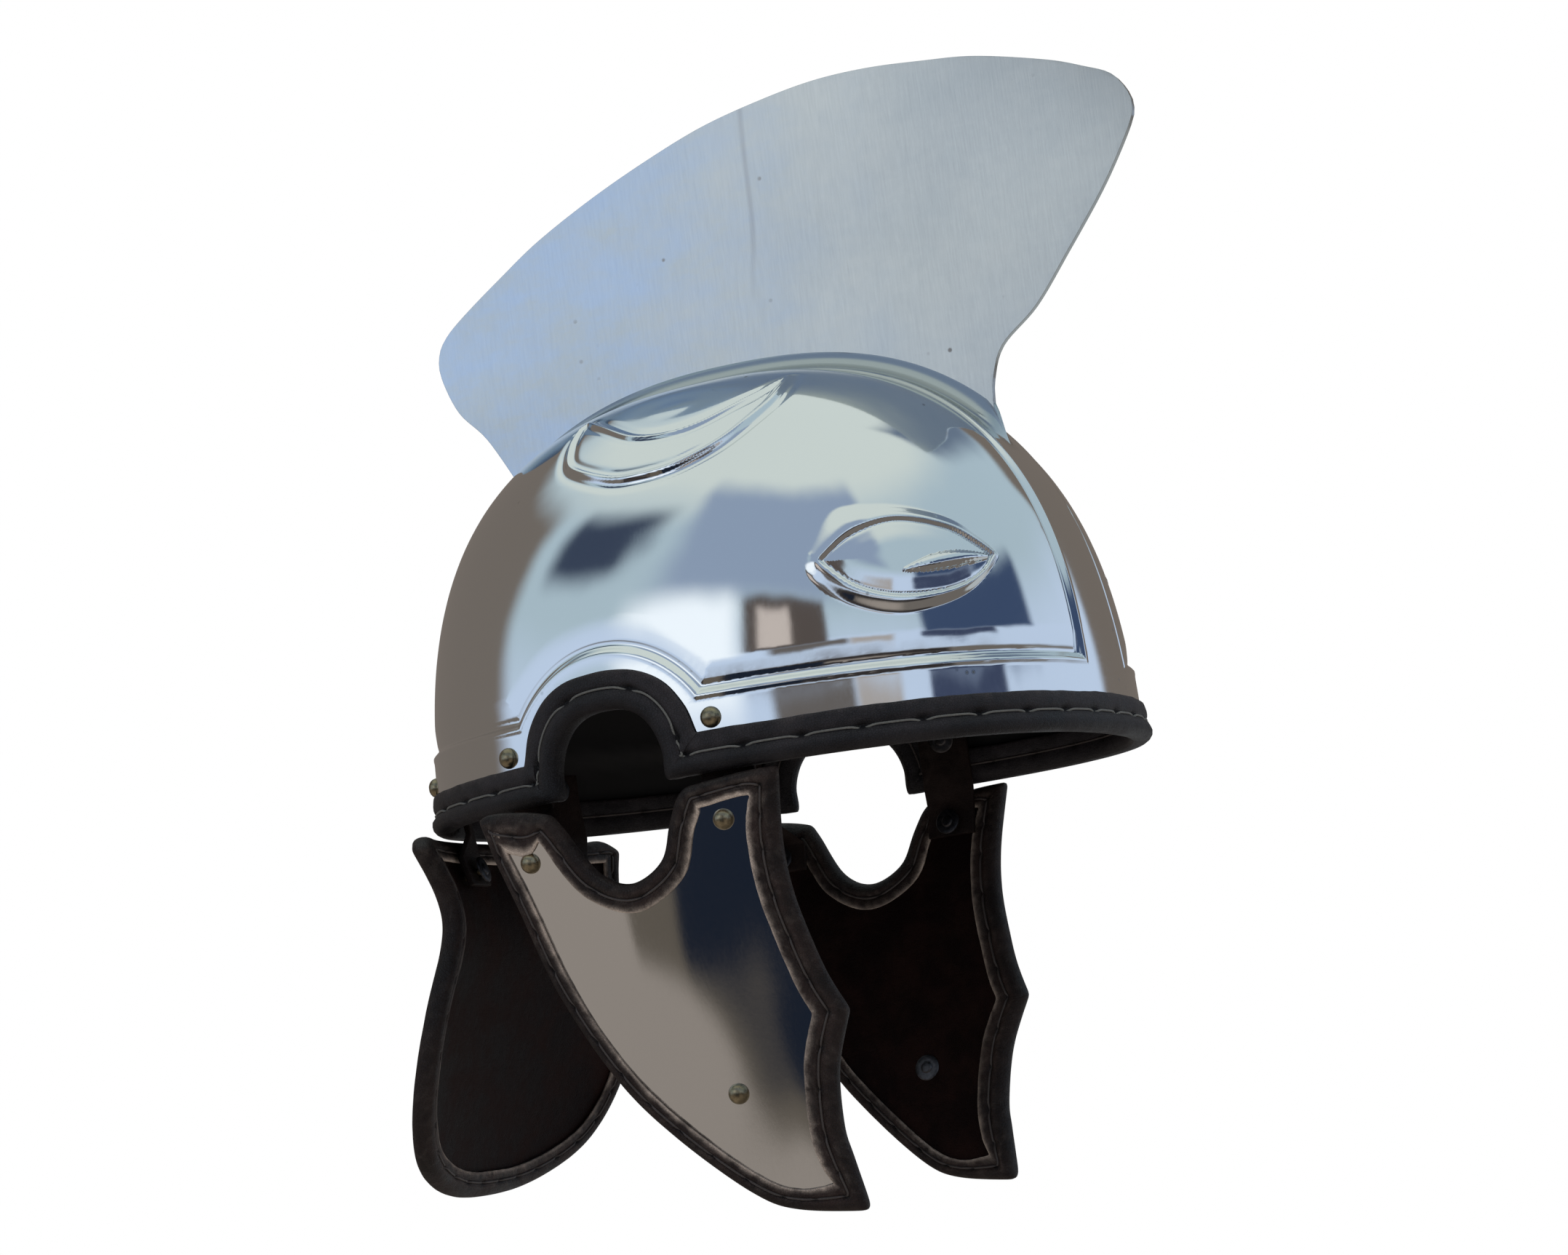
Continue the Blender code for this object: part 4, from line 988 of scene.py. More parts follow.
def leather_group():
    """Leather's pores, creases and uneven colour."""
    group, given, out = new_group(
        "leather surface",
        [
            ("Colour", "NodeSocketColor", (0.03, 0.02, 0.02, 1.0)),
            ("Worn Colour", "NodeSocketColor", (0.12, 0.08, 0.06, 1.0)),
            ("Wear", "NodeSocketFloat", 0.0),
            ("Pore Size", "NodeSocketFloat", 900.0),
        ],
        [("Colour", "NodeSocketColor"), ("Height", "NodeSocketFloat"), ("Roughness", "NodeSocketFloat")],
    )
    place = own_place(group, (-1000, -300))
    feeds = {"Vector": place, "Scale": given["Pore Size"], "Randomness": 0.9}
    pores = node(group, "ShaderNodeTexVoronoi", (-760, -100), feeds, feature="DISTANCE_TO_EDGE")
    creases = noise(group, (-760, -350), place, Scale=240.0, Detail=6.0, Distortion=0.6)["Fac"]
    clouds = noise(group, (-760, -600), place, Scale=55.0, Detail=5.0, Roughness=0.65)["Fac"]
    edges = ramp(group, (-520, -100), pores.outputs["Distance"], 0.0, 0.14)
    grain = sum_node(group, "MULTIPLY", (-340, -100), edges, 0.45)
    fold = sum_node(group, "MULTIPLY", (-340, -300), creases, 1.3)
    patchy = ramp(group, (-520, -600), clouds, 0.38, 0.66)
    torn = sum_node(group, "MULTIPLY_ADD", (-340, -500), creases, 1.6, -0.8)
    worn = sum_node(group, "ADD", (-160, -500), given["Wear"], torn)
    scaled = sum_node(group, "MULTIPLY", (0, -500), worn, given["Wear"], clamp=True)
    shade = mix_colours(group, (0, 100), patchy, (0.55, 0.55, 0.55), (1.35, 1.28, 1.22))
    body = mix_colours(group, (160, 100), 1.0, given["Colour"], shade, blend="MULTIPLY")
    results = {
        "Colour": mix_colours(group, (340, 100), scaled, body, given["Worn Colour"]),
        "Height": sum_node(group, "ADD", (-160, -200), grain, fold),
        "Roughness": sum_node(group, "MULTIPLY_ADD", (340, -300), patchy, 0.14, 0.50),
    }
    feed(group, out, results)


def worked_group():
    """Fine scratches, specks and slow waves of worked steel."""
    group, given, out = new_group(
        "worked steel",
        [
            ("Along", "NodeSocketVector", (1.0, 1.0, 1.0)),
            ("Fineness", "NodeSocketFloat", 60.0),
            ("Waves", "NodeSocketFloat", 12.0),
        ],
        [("Scratch", "NodeSocketFloat"), ("Speck", "NodeSocketFloat"), ("Wave", "NodeSocketFloat")],
    )
    place = own_place(group, (-1000, -300))
    drawn = vector_node(group, "MULTIPLY", (-800, 0), {0: place, 1: given["Along"]})
    feeds = {"Vector": place, "Scale": 150.0}
    specks = node(group, "ShaderNodeTexVoronoi", (-560, -260), feeds, feature="F1")
    few = noise(group, (-560, -520), place, Scale=30.0)["Fac"]
    dot = ramp(group, (-320, -260), specks.outputs["Distance"], 0.16, 0.06)
    where = ramp(group, (-320, -520), few, 0.60, 0.72)
    lines = noise(group, (-560, 0), drawn, Scale=given["Fineness"], Detail=7.0, Roughness=0.72)["Fac"]
    results = {
        "Scratch": lines,
        "Speck": sum_node(group, "MULTIPLY", (-100, -400), dot, where),
        "Wave": noise(group, (-560, -760), place, Scale=given["Waves"], Detail=1.5)["Fac"],
    }
    feed(group, out, results)


def new_material(name):
    """A material with its Principled shader."""
    made = bpy.data.materials.new(name)
    made.use_nodes = True
    tree = made.node_tree
    shader = tree.nodes["Principled BSDF"]
    shader.location = (700, 0)
    tree.nodes["Material Output"].location = (1000, 0)
    return made, tree, shader


def placed_group(tree, name, place, feeds):
    """The outputs of a node group in a material."""
    return node(tree, "ShaderNodeGroup", place, feeds, node_tree=bpy.data.node_groups[name]).outputs


def worked(tree, place, along, fineness, waves):
    """The outputs of the worked steel group with its own grain."""
    return placed_group(tree, "worked steel", place, {"Along": along, "Fineness": fineness, "Waves": waves})


def bump(tree, shader, place, height, strength, distance, under=None):
    """Feed a height to a shader's normal."""
    feeds = {"Strength": strength, "Distance": distance, "Height": height}
    if under is not None:
        feeds["Normal"] = under
    normal = node(tree, "ShaderNodeBump", place, feeds).outputs["Normal"]
    feed(tree, shader.inputs, {"Normal": normal})
    return normal


def toned(tint, *shares):
    """A colour times one share, or times a share each for red, green and blue."""
    return tuple(part * share for part, share in zip(tint, shares * 3))


def polished_steel(name, tint, rough, waves, stain):
    """Mirror-polished sheet with fine scratches, a few specks and soft waves, brushed where it is satin."""
    made, tree, shader = new_material(name)
    satin = node(tree, "ShaderNodeAttribute", (-500, 500), attribute_name="satin").outputs["Fac"]
    sheet = worked(tree, (-500, 0), (1.0, 1.0, 1.6), 900.0, 16.0)
    streaks = worked(tree, (-500, -400), (0.12, 1.0, 0.35), 1300.0, 5.0)
    cloudy = ramp(tree, (-250, 200), streaks["Wave"], 0.35, 0.75)
    clean = mix_colours(tree, (0, 200), cloudy, tint, toned(tint, stain))
    dotted = mix_colours(tree, (200, 200), sheet["Speck"], clean, (0.12, 0.11, 0.10))
    tone = mix_colours(tree, (400, 300), satin, dotted, tuple(colours().comb))
    haze = sum_node(tree, "MULTIPLY_ADD", (0, -100), streaks["Scratch"], 0.09, rough - 0.045)
    spot = sum_node(tree, "MULTIPLY_ADD", (200, -100), sheet["Speck"], 0.4, haze)
    dull = sum_node(tree, "MULTIPLY_ADD", (400, -100), satin, 0.13, spot)
    feed(tree, shader.inputs, {"Metallic": 1.0, "Base Color": tone, "Roughness": dull})
    slow = bump(tree, shader, (300, -350), sheet["Wave"], waves, 0.0006)
    bump(tree, shader, (480, -350), streaks["Scratch"], 0.05, 0.00005, slow)
    return made


def brushed_steel():
    """The comb's satin steel: fine lines up and down, cloudy patches, a few stains, a painted reflection
    that runs from bluish at the back to warmer at the front, and the painted shade of one faint crease.
    """
    made, tree, shader = new_material("brushed comb steel")
    tint = tuple(colours().comb)
    lines = worked(tree, (-700, 0), (1.0, 1.0, 0.06), 1500.0, 9.0)
    flow = worked(tree, (-700, -300), (1.0, 0.4, 0.8), 28.0, 30.0)
    cloudy = ramp(tree, (-450, 200), flow["Scratch"], 0.36, 0.68)
    place = own_place(tree, (-900, 500))
    apart = node(tree, "ShaderNodeSeparateXYZ", (-700, 500), {0: place}).outputs
    # Painted reflection: the colour runs from bluish at the back to warmer and brighter at the front.
    drift = sum_node(tree, "MULTIPLY_ADD", (-700, 800), flow["Wave"], 0.09, apart["Y"])
    forward = ramp(tree, (-500, 800), drift, 0.11, -0.03)
    blue = toned(tint, 0.90, 1.02, 1.28)
    base = mix_colours(tree, (-340, 300), forward, blue, toned(tint, 1.10, 1.06, 1.02))
    painted_warm_reflection = mix_colours(tree, (-340, 100), forward, tint, toned(tint, 1.22, 1.15, 1.08))
    clean = mix_colours(tree, (-200, 200), cloudy, base, painted_warm_reflection)
    # Painted shade: a thin dark line high on the comb stands for the shade of one faint crease, which the
    # shape doesn't have.
    bend = sum_node(tree, "MULTIPLY", (-500, 500), lines["Wave"], 0.02)
    line = sum_node(tree, "ADD", (-340, 500), apart["Y"], bend)
    off = sum_node(tree, "ABSOLUTE", (-180, 500), sum_node(tree, "ADD", (-260, 500), line, 0.005))
    thin = ramp(tree, (-20, 500), off, 0.0016, 0.0002)
    high = ramp(tree, (-20, 700), apart["Z"], 0.165, 0.20)
    crease = sum_node(tree, "MULTIPLY", (140, 600), thin, high)
    faint = sum_node(tree, "MULTIPLY", (300, 600), crease, 0.35)
    with_painted_crease_shade = mix_colours(tree, (0, 200), faint, clean, (0.25, 0.26, 0.28))
    stained = mix_colours(tree, (200, 200), lines["Speck"], with_painted_crease_shade, (0.20, 0.19, 0.18))
    haze = sum_node(tree, "MULTIPLY_ADD", (200, -100), lines["Scratch"], 0.16, 0.12)
    feed(tree, shader.inputs, {"Metallic": 1.0, "Base Color": stained, "Roughness": haze})
    slow = bump(tree, shader, (200, -350), lines["Wave"], 0.6, 0.0012)
    bump(tree, shader, (400, -350), lines["Scratch"], 0.07, 0.0001, slow)
    return made


def dark_steel_with_painted_shade():
    """The bowl's inside, black and dull; its near-black colour is partly painted shade."""
    made, tree, shader = new_material("dark steel inside with painted shade")
    sheet = worked(tree, (-500, 0), (1.0, 1.0, 1.0), 70.0, 20.0)
    tone = mix_colours(tree, (0, 200), sheet["Scratch"], tuple(colours().inside), (0.012, 0.011, 0.012))
    haze = sum_node(tree, "MULTIPLY_ADD", (0, -100), sheet["Scratch"], 0.3, 0.45)
    feed(tree, shader.inputs, {"Metallic": 0.3, "Base Color": tone, "Roughness": haze})
    bump(tree, shader, (300, -350), sheet["Wave"], 0.3, 0.0004)
    return made


def leather(name, tint, worn, depth, gloss, wear_and_painted_shade=True):
    """Grained leather with frayed pale edges, and painted shade that darkens it round its stitch holes and
    along its rolls and folds.
    """
    made, tree, shader = new_material(name)
    feeds = {"Pore Size": 1100.0, "Colour": tint, "Worn Colour": worn}
    if wear_and_painted_shade:
        feeds["Wear"] = node(tree, "ShaderNodeAttribute", (-500, 0), attribute_name="wear").outputs["Fac"]
    surface = placed_group(tree, "leather surface", (-200, 0), feeds)
    tone = surface["Colour"]
    if wear_and_painted_shade:
        # Painted shade: the hole value darkens the colour round the stitch holes and along the rolls and
        # folds.
        hole = node(tree, "ShaderNodeAttribute", (-200, 300), attribute_name="hole").outputs["Fac"]
        tone = mix_colours(tree, (200, 200), hole, tone, (0.002, 0.0015, 0.0015))
    feeds = {"Base Color": tone, "Roughness": surface["Roughness"], "Specular IOR Level": gloss}
    feed(tree, shader.inputs, feeds)
    bump(tree, shader, (300, -300), surface["Height"], depth, 0.0004)
    return made


def pale_floor():
    """A pale floor that fades into the white of the studio, clear from below."""
    made, tree, shader = new_material("pale floor")
    feeds = {0: own_place(tree, (-900, 0))}
    away = node(tree, "ShaderNodeVectorMath", (-700, 0), feeds, operation="LENGTH").outputs["Value"]
    far = ramp(tree, (-500, 0), away, 0.7, 1.9)
    under = node(tree, "ShaderNodeNewGeometry", (-500, -500)).outputs["Backfacing"]
    feeds = {
        "Base Color": mix_colours(tree, (-200, 0), far, (0.62, 0.60, 0.58), (0.0, 0.0, 0.0)),
        "Emission Color": mix_colours(tree, (-200, -300), far, (0.44, 0.425, 0.405), (1.0, 1.0, 1.0)),
        "Emission Strength": 1.0,
        "Specular IOR Level": 0.0,
        "Roughness": 1.0,
        "Alpha": sum_node(tree, "SUBTRACT", (-300, -500), 1.0, under),
    }
    feed(tree, shader.inputs, feeds)
    return made


def antique_metal(name, tint, rough, dark):
    """Old brass or steel of the rivets, darker in random patches."""
    made, tree, shader = new_material(name)
    scratch = worked(tree, (-500, 0), (1.0, 1.0, 1.0), 500.0, 300.0)["Scratch"]
    patch = ramp(tree, (-250, 200), scratch, 0.35, 0.7)
    tone = mix_colours(tree, (0, 200), patch, toned(tint, dark), tint)
    haze = sum_node(tree, "MULTIPLY_ADD", (0, -100), scratch, 0.25, rough)
    feed(tree, shader.inputs, {"Metallic": 1.0, "Base Color": tone, "Roughness": haze})
    bump(tree, shader, (300, -350), scratch, 0.25, 0.0001)
    return made


def twisted_thread(name, tint):
    """Waxed thread with its twist."""
    made, tree, shader = new_material(name)
    twist = noise(tree, (-450, 0), own_place(tree, (-700, 0)), Scale=1800.0)["Fac"]
    tone = mix_colours(tree, (0, 200), twist, toned(tint, 0.5), toned(tint, 1.5))
    feed(tree, shader.inputs, {"Base Color": tone, "Roughness": 0.6})
    bump(tree, shader, (300, -300), twist, 0.5, 0.0001)
    return made


def finishes():
    """All finishes, made once."""
    made = bpy.data.materials
    if "polished bowl steel" not in made:
        leather_group()
        worked_group()
        tone = colours()
        strap = toned(tone.brown_leather, 0.45)
        polished_steel("polished bowl steel", tuple(tone.steel), 0.07, 0.30, 0.93)
        polished_steel("polished plate steel", tuple(tone.steel), 0.055, 0.2, 0.88)
        brushed_steel()
        dark_steel_with_painted_shade()
        leather("rim leather", tuple(tone.rim_leather), (0.11, 0.085, 0.08), 0.9, 0.32)
        leather("edging leather", tuple(tone.brown_leather), tuple(tone.pale_edge), 0.9, 0.3)
        # The backing's near-black colour is partly painted shade.
        leather("backing leather", tuple(tone.backing), (0.05, 0.035, 0.03), 0.7, 0.07, wear_and_painted_shade=False)
        leather("strap leather", strap, (0.05, 0.033, 0.027), 0.6, 0.15)
        antique_metal("antique brass", tuple(tone.brass), 0.18, 0.55)
        antique_metal("washer steel", tuple(tone.washer), 0.3, 0.5)
        twisted_thread("rim thread", tuple(tone.rim_thread))
        twisted_thread("dark thread", tuple(tone.dark_thread))
    return made


def ear_reach(turn, half_width, top, drop, power):
    """How far an arch over the ear is from the ear's middle, at turns from the front over the top."""

    def inside(radius):
        across = np.abs(radius * np.cos(turn)) / half_width
        up = (FLOOR_Z + radius * np.sin(turn) + drop) / (top + drop)
        return across**power + up**power < 1

    return furthest(inside, turn.shape, 0.12, 26)


def hood_leans(turn, radius):
    """How far rays lean out to the side when they meet the bowl at a radius round the ear's middle."""
    forward = np.stack([np.zeros_like(turn), -np.cos(turn), np.sin(turn)], -1)

    def beyond(lean):
        rays = forward * np.cos(lean)[:, None]
        rays[:, 0] -= np.sin(lean)
        hit = on_bowl(EAR_MIDDLE, rays) - EAR_MIDDLE
        return np.sum(hit * forward, -1) > radius

    return furthest(beyond, turn.shape, math.pi / 2, 22)


def hood(name, columns, rows, ramp_steps):
    """The bowl's surface as a grid that folds about the ears like a hood, open at the rim and the ears."""
    size = sizes()
    turn = np.linspace(0.0, math.pi, columns + 1)
    edge = ear_reach(turn, size.ear_band_width, size.ear_band_height, EAR_BAND_DROP, 2)
    hole = ear_reach(turn, size.ear_width + EDGE_GAP, size.ear_height + EDGE_GAP, 0.0, EAR_POWER)
    foot = [np.full(columns + 1, x / CROWN_RISE) for x in FOOT_ROWS_X]
    outer = hood_leans(turn, edge + ramp_steps[0] + 0.001)
    leans = list(foot)
    for row in range(1, rows + 1):
        leans.append(foot[-1] + (outer - foot[-1]) * row / rows)
    for step in ramp_steps:
        leans.append(hood_leans(turn, edge + step))
    for row in range(1, EAR_ROWS + 1):
        radius = edge + ramp_steps[-1] + (hole - edge - ramp_steps[-1]) * row / EAR_ROWS
        leans.append(hood_leans(turn, radius))
    leans = np.array(leans)
    per_side = len(leans) - 1
    piece, column, row = grid_piece(name, columns, 2 * per_side)
    side = row - per_side
    lean = np.copysign(leans[np.abs(side), column], side)
    turn = turn[column]
    rays = np.stack([np.sin(lean), -np.cos(turn) * np.cos(lean), np.sin(turn) * np.cos(lean)], -1)
    place_vertices(piece, on_bowl(EAR_MIDDLE, rays))
    return piece


def cut_line(place, normal):
    """Draw an edge line round the open piece where a plane meets it."""
    bpy.ops.mesh.select_all(action="SELECT")
    bpy.ops.mesh.bisect(plane_co=place, plane_no=normal, threshold=0.00015)


def within(values, limits):
    """Which values lie between two limits."""
    return (values > limits[0]) & (values < limits[1])


def refine_relief(piece):
    """Divide the faces under the eyes and the leaves finely."""
    middles = np.zeros(len(piece.data.polygons) * 3)
    piece.data.polygons.foreach_get("center", middles)
    middles = middles.reshape(-1, 3)
    eye = within(bearing_of(middles), EYE_BEARINGS) & within(middles[:, 2], EYE_HEIGHTS)
    leaf = within(middles[:, 1], LEAF_PLACES) & within(lean_of(middles), LEAF_LEANS) & (middles[:, 2] > 0.07)
    edit(piece)
    bpy.ops.mesh.select_mode(type="FACE")
    bpy.ops.mesh.select_all(action="DESELECT")
    leave_edit()
    piece.data.polygons.foreach_set("select", eye | leaf)
    pick(piece)
    bpy.ops.object.mode_set(mode="EDIT")
    bpy.ops.mesh.subdivide(number_cuts=FINE_CUTS)
    bpy.ops.mesh.select_mode(type="VERT")
    leave_edit()


def pressed_height(points, fine):
    """Height in metres of all that is pressed into the bowl."""
    height = band_relief(points)
    if fine:
        height += eye_relief(points) + leaf_relief(points) + foot_relief(points)
        height += 1000 * dents(points, BOWL_DENTS, 4) * smooth_step((points[:, 2] - 0.02) / 0.03)
    return height / 1000


def press_relief(piece, inset, fine):
    """Move the surface out and in to the bands, the foot and the ornament, and return the true normals."""
    points = vertex_places(piece)
    centre = np.array(HOLLOW_MIDDLE)
    rays = points - centre
    rays /= np.linalg.norm(rays, axis=1, keepdims=True)
    points = on_bowl(centre, rays)
    normals = bowl_normals(points)
    place_vertices(piece, points + normals * (pressed_height(points, fine) - inset)[:, None])
    first = np.cross(normals, np.array([0.31, 0.17, 0.93]))
    first /= np.linalg.norm(first, axis=1, keepdims=True)
    second = np.cross(normals, first)
    slopes = np.zeros(points.shape)
    for way in (first, second):
        rise = pressed_height(points + way * PROBE, fine) - pressed_height(points - way * PROBE, fine)
        slopes += way * (rise / (2 * PROBE))[:, None]
    true = normals - slopes
    return true / np.linalg.norm(true, axis=1, keepdims=True)


class HELMET_OT_bowl(bpy.types.Operator):
    """Press the bowl with its bands, eyes and leaves, and its dark inside"""

    bl_idname = "helmet.bowl"
    bl_label = "Bowl"

    def execute(self, context):
        outside = hood("bowl_outside", columns=176, rows=46, ramp_steps=RAMP_STEPS)
        edit(outside)
        brow_height = sizes().brow_height
        brow_x = sizes().crown_band + CROWN_BAND_TAPER * brow_height
        for side in (-1, 1):
            for offset in CREASE_LINES:
                cut_line((side * (brow_x + offset), 0.0, 0.0), (side, 0.0, CROWN_BAND_TAPER))
        for offset in CREASE_LINES + BROW_SLOPE_LINES:
            cut_line((0.0, 0.0, brow_height + offset), (0.0, -BROW_RISE, 1.0))
        leave_edit()
        refine_relief(outside)
        close_up(outside)
        normals = press_relief(outside, inset=0.0, fine=True)
        inside = hood("bowl_inside", columns=88, rows=20, ramp_steps=(0.002, -0.001))
        press_relief(inside, inset=sizes().steel + 0.0003, fine=False)
        close_up(inside, inside=True)
        made = finishes()
        finish_piece(inside, made["dark steel inside with painted shade"], "steel", ["skull"], 180)
        finish_piece(outside, made["polished bowl steel"], "steel", ["skull"], 180)
        outside.data.normals_split_custom_set_from_vertices(normals.tolist())
        add_values(outside, "satin", comb_foot_satin(vertex_places(outside)))
        return {"FINISHED"}


class HELMET_OT_comb(bpy.types.Operator):
    """Cut the comb's flat blade and stand it on the crown"""

    bl_idname = "helmet.comb"
    bl_label = "Comb"

    def execute(self, context):
        size = sizes()
        front = size.comb_front
        rows = [(back * size.comb_length - front, up * size.comb_top) for back, up in COMB_OUTLINE]
        gaps = [math.dist(a, b) for a, b in zip(rows, rows[1:])]
        upper = smooth_line(rows, [max(1, round(gap / COMB_STEP)) for gap in gaps])
        along = np.linspace(upper[-1][0], upper[0][0], COMB_FOOT_POINTS)[1:-1]
        starts = np.stack([np.zeros_like(along), along, np.full_like(along, HOLLOW_MIDDLE[2])], -1)
        up = np.broadcast_to(np.array([0.0, 0.0, 1.0]), starts.shape)
        crown = on_bowl(starts, up)
        lower = np.stack([crown[:, 1], crown[:, 2] - COMB_SUNK], -1)
        blade = flat_sheet("comb_blade", np.concatenate([upper, lower]), COMB_CELL)
        flat = vertex_places(blade)
        points = np.stack([np.zeros(len(flat)), flat[:, 0], flat[:, 1]], -1)
        high = smooth_step((points[:, 2] - 0.15) / 0.05)
        points[:, 0] = dents(points, COMB_DENTS, 11) * high
        place_vertices(blade, points)
        apply_modifier(blade, "SOLIDIFY", thickness=size.comb_thickness, offset=0.0)
        close_up(blade)
        round_edges(blade, 0.0006, 3)
        finish_piece(blade, finishes()["brushed comb steel"], "steel", ["skull"], 40)
        apply_modifier(blade, "WEIGHTED_NORMAL", weight=100, keep_sharp=True)
        return {"FINISHED"}


def flat_sheet(name, outline, cell):
    """A flat piece cut to an outline and divided into small cells."""
    deselect()
    bpy.ops.mesh.primitive_circle_add(vertices=len(outline), radius=0.1, fill_type="NGON")
    piece = named(name)
    place_vertices(piece, np.concatenate([outline, np.zeros((len(outline), 1))], 1))
    edit(piece)
    for axis in range(2):
        low = outline[:, axis].min()
        high = outline[:, axis].max()
        steps = max(2, round((high - low) / cell))
        for step in range(1, steps):
            place = [0.0, 0.0, 0.0]
            normal = [0.0, 0.0, 0.0]
            place[axis] = low + (high - low) * step / steps
            normal[axis] = 1.0
            cut_line(place, normal)
    bpy.ops.mesh.select_all(action="SELECT")
    bpy.ops.mesh.quads_convert_to_tris()
    leave_edit()
    return piece


def inset_loop(outline, distances):
    """An outline moved inwards by a distance at each point, mitred at its corners."""
    following = np.roll(outline, -1, axis=0)
    area = np.sum(outline[:, 0] * following[:, 1] - following[:, 0] * outline[:, 1])
    inward = 1.0 if area > 0 else -1.0
    before = outline - np.roll(outline, 1, axis=0)
    after = following - outline
    before /= np.linalg.norm(before, axis=1, keepdims=True)
    after /= np.linalg.norm(after, axis=1, keepdims=True)
    first = np.stack([-before[:, 1], before[:, 0]], 1) * inward
    second = np.stack([-after[:, 1], after[:, 0]], 1) * inward
    miter = first + second
    miter /= np.linalg.norm(miter, axis=1, keepdims=True)
    reach = np.asarray(distances) / np.maximum(0.5, np.sum(miter * first, 1))
    return outline + miter * reach[:, None]


def soften_corners(line, rounds):
    """A closed line with its corners rounded a little."""
    for _ in range(rounds):
        line = (np.roll(line, 1, axis=0) + 2 * line + np.roll(line, -1, axis=0)) / 4
    return line


def way_along(line):
    """Distance along a closed line of points."""
    gaps = np.linalg.norm(np.roll(line, -1, axis=0) - line, axis=1)
    return np.concatenate([[0.0], np.cumsum(gaps)[:-1]]), gaps.sum()


def stitch_holes(total, spacing, start=0.0):
    """Places of the holes along a closed line."""
    count = max(3, round(total / spacing))
    return (np.arange(count) / count * total + start) % total


def from_hole(along, holes, total):
    """Distance along a closed line to the nearest hole."""
    gap = np.abs(along[:, None] - holes[None, :])
    return np.minimum(gap, total - gap).min(axis=1)


def rough_edge(along, total, seed):
    """A slow and a fine waver along a closed line, about -1 to 1."""
    source = np.random.default_rng(seed)
    waver = np.zeros_like(along)
    for turns in (3, 5, 9, 14, 22, 41, 67, 103):
        waver += np.sin(2 * math.pi * turns * along / total + source.uniform(0, 6.28)) / turns**0.55
    return waver / 1.6


def pinch(reach, near):
    """How much the leather is drawn in round a stitch hole, at shares of the lap and distances along it."""
    return hump(reach, STITCH_REACH, 0.085) * hump(near, 0.0, 0.0021)


def folded_leather(name, rings, section, along, total, holes, seed, worn):
    """A leather strip from rings of section points, with its wear, and a painted shade round its stitch
    holes and along its rolls and folds, as values.
    """
    count, around = rings.shape[:2]
    piece, column, row = grid_piece(name, around, count)
    column %= around
    row %= count
    place_vertices(piece, rings[row, column])
    reach = np.array([part[0] for part in section])[column]
    wear = np.array([WEAR[part[2]] for part in section])[column]
    # Painted shade: rolls and folds get a darker colour for the shade that falls in them.
    shade = np.array([FOLD_PAINTED_SHADE.get(part[2], 0.0) for part in section])[column]
    lap = np.array([part[2] == "lap" for part in section])[column]
    source = np.random.default_rng(seed)
    patch = 0.5 + 0.5 * rough_edge(along, total, seed + 1)[row]
    frayed = np.clip((reach - 0.74) / 0.26, 0, 1)
    wear = np.maximum(wear, WEAR["edge"] * frayed * lap)
    rubbed = np.broadcast_to(worn, count)[row]
    wear = wear * (0.55 + 0.65 * patch) * rubbed + source.normal(0, 0.04, len(wear))
    near = from_hole(along, holes, total)[row]
    add_values(piece, "wear", np.clip(wear, 0, 1))
    # The hole value is painted shade: dark round the stitch holes and along the rolls and folds.
    add_values(piece, "hole", np.maximum(pinch(reach, near), shade))
    close_up(piece)
    return piece


def thread_piece(name, points, finish, slot):
    """A closed thread through points, as a round curve turned into a mesh."""
    deselect()
    bpy.ops.curve.primitive_nurbs_path_add()
    holder = bpy.context.object
    curve = holder.data
    curve.splines.clear()
    line = curve.splines.new("POLY")
    line.points.add(len(points) - 1)
    line.points.foreach_set("co", np.concatenate([points, np.ones((len(points), 1))], 1).ravel())
    line.use_cyclic_u = True
    curve.dimensions = "3D"
    curve.bevel_depth = sizes().thread
    curve.bevel_resolution = 1
    pick(holder)
    bpy.ops.object.convert(target="MESH")
    finish_piece(named(name), finishes()[finish], slot, (), 180)


def thread_height(near):
    """How far a thread's middle stands over the leather: low in its holes, high between them."""
    return sizes().thread * (-2.2 + 3.0 * smooth_step(near / 0.0022))


def cheek_slope(y):
    """How steeply a cheek piece's sheet runs out at places along Y."""
    front, back = CHEEK_BEND_Y
    return CHEEK_SLOPE_BACK - CHEEK_BEND * (2 * y - front - back)


def cheek_place(side):
    """How a cheek piece's sheet lies: points at places along Y, heights and depths."""

    def place(y, z, depth):
        front, back = CHEEK_BEND_Y
        x = CHEEK_OUT + CHEEK_SLOPE_BACK * y + CHEEK_SLOPE_IN * z - CHEEK_BEND * (y - front) * (y - back)
        slope = cheek_slope(y)
        size = np.sqrt(1 + slope**2)
        level = depth * math.sqrt(1 + CHEEK_SLOPE_IN**2)
        return np.stack([side * (x - level / size), y + slope / size * level, z + 0 * x], -1)

    return place


def neck_place(x, z, depth):
    """How the neck guard's sheet lies: points at places across, heights and depths."""
    profile = smooth_line(NECK_PROFILE, [12] * (len(NECK_PROFILE) - 1))

    def middle(height):
        return NECK_Y + NECK_FLARE * np.interp((NECK_TOP - height) / NECK_DROP, profile[:, 0], profile[:, 1])

    lean = (middle(z + 0.003) - middle(z - 0.003)) / 0.006
    level = depth * np.sqrt(1 + lean**2)
    size = np.sqrt(1 + (x / NECK_RADIUS) ** 2)
    y = middle(z) - x * x / (2 * NECK_RADIUS)
    return np.stack([x - level * x / NECK_RADIUS / size, y - level / size, z + 0 * x], -1)


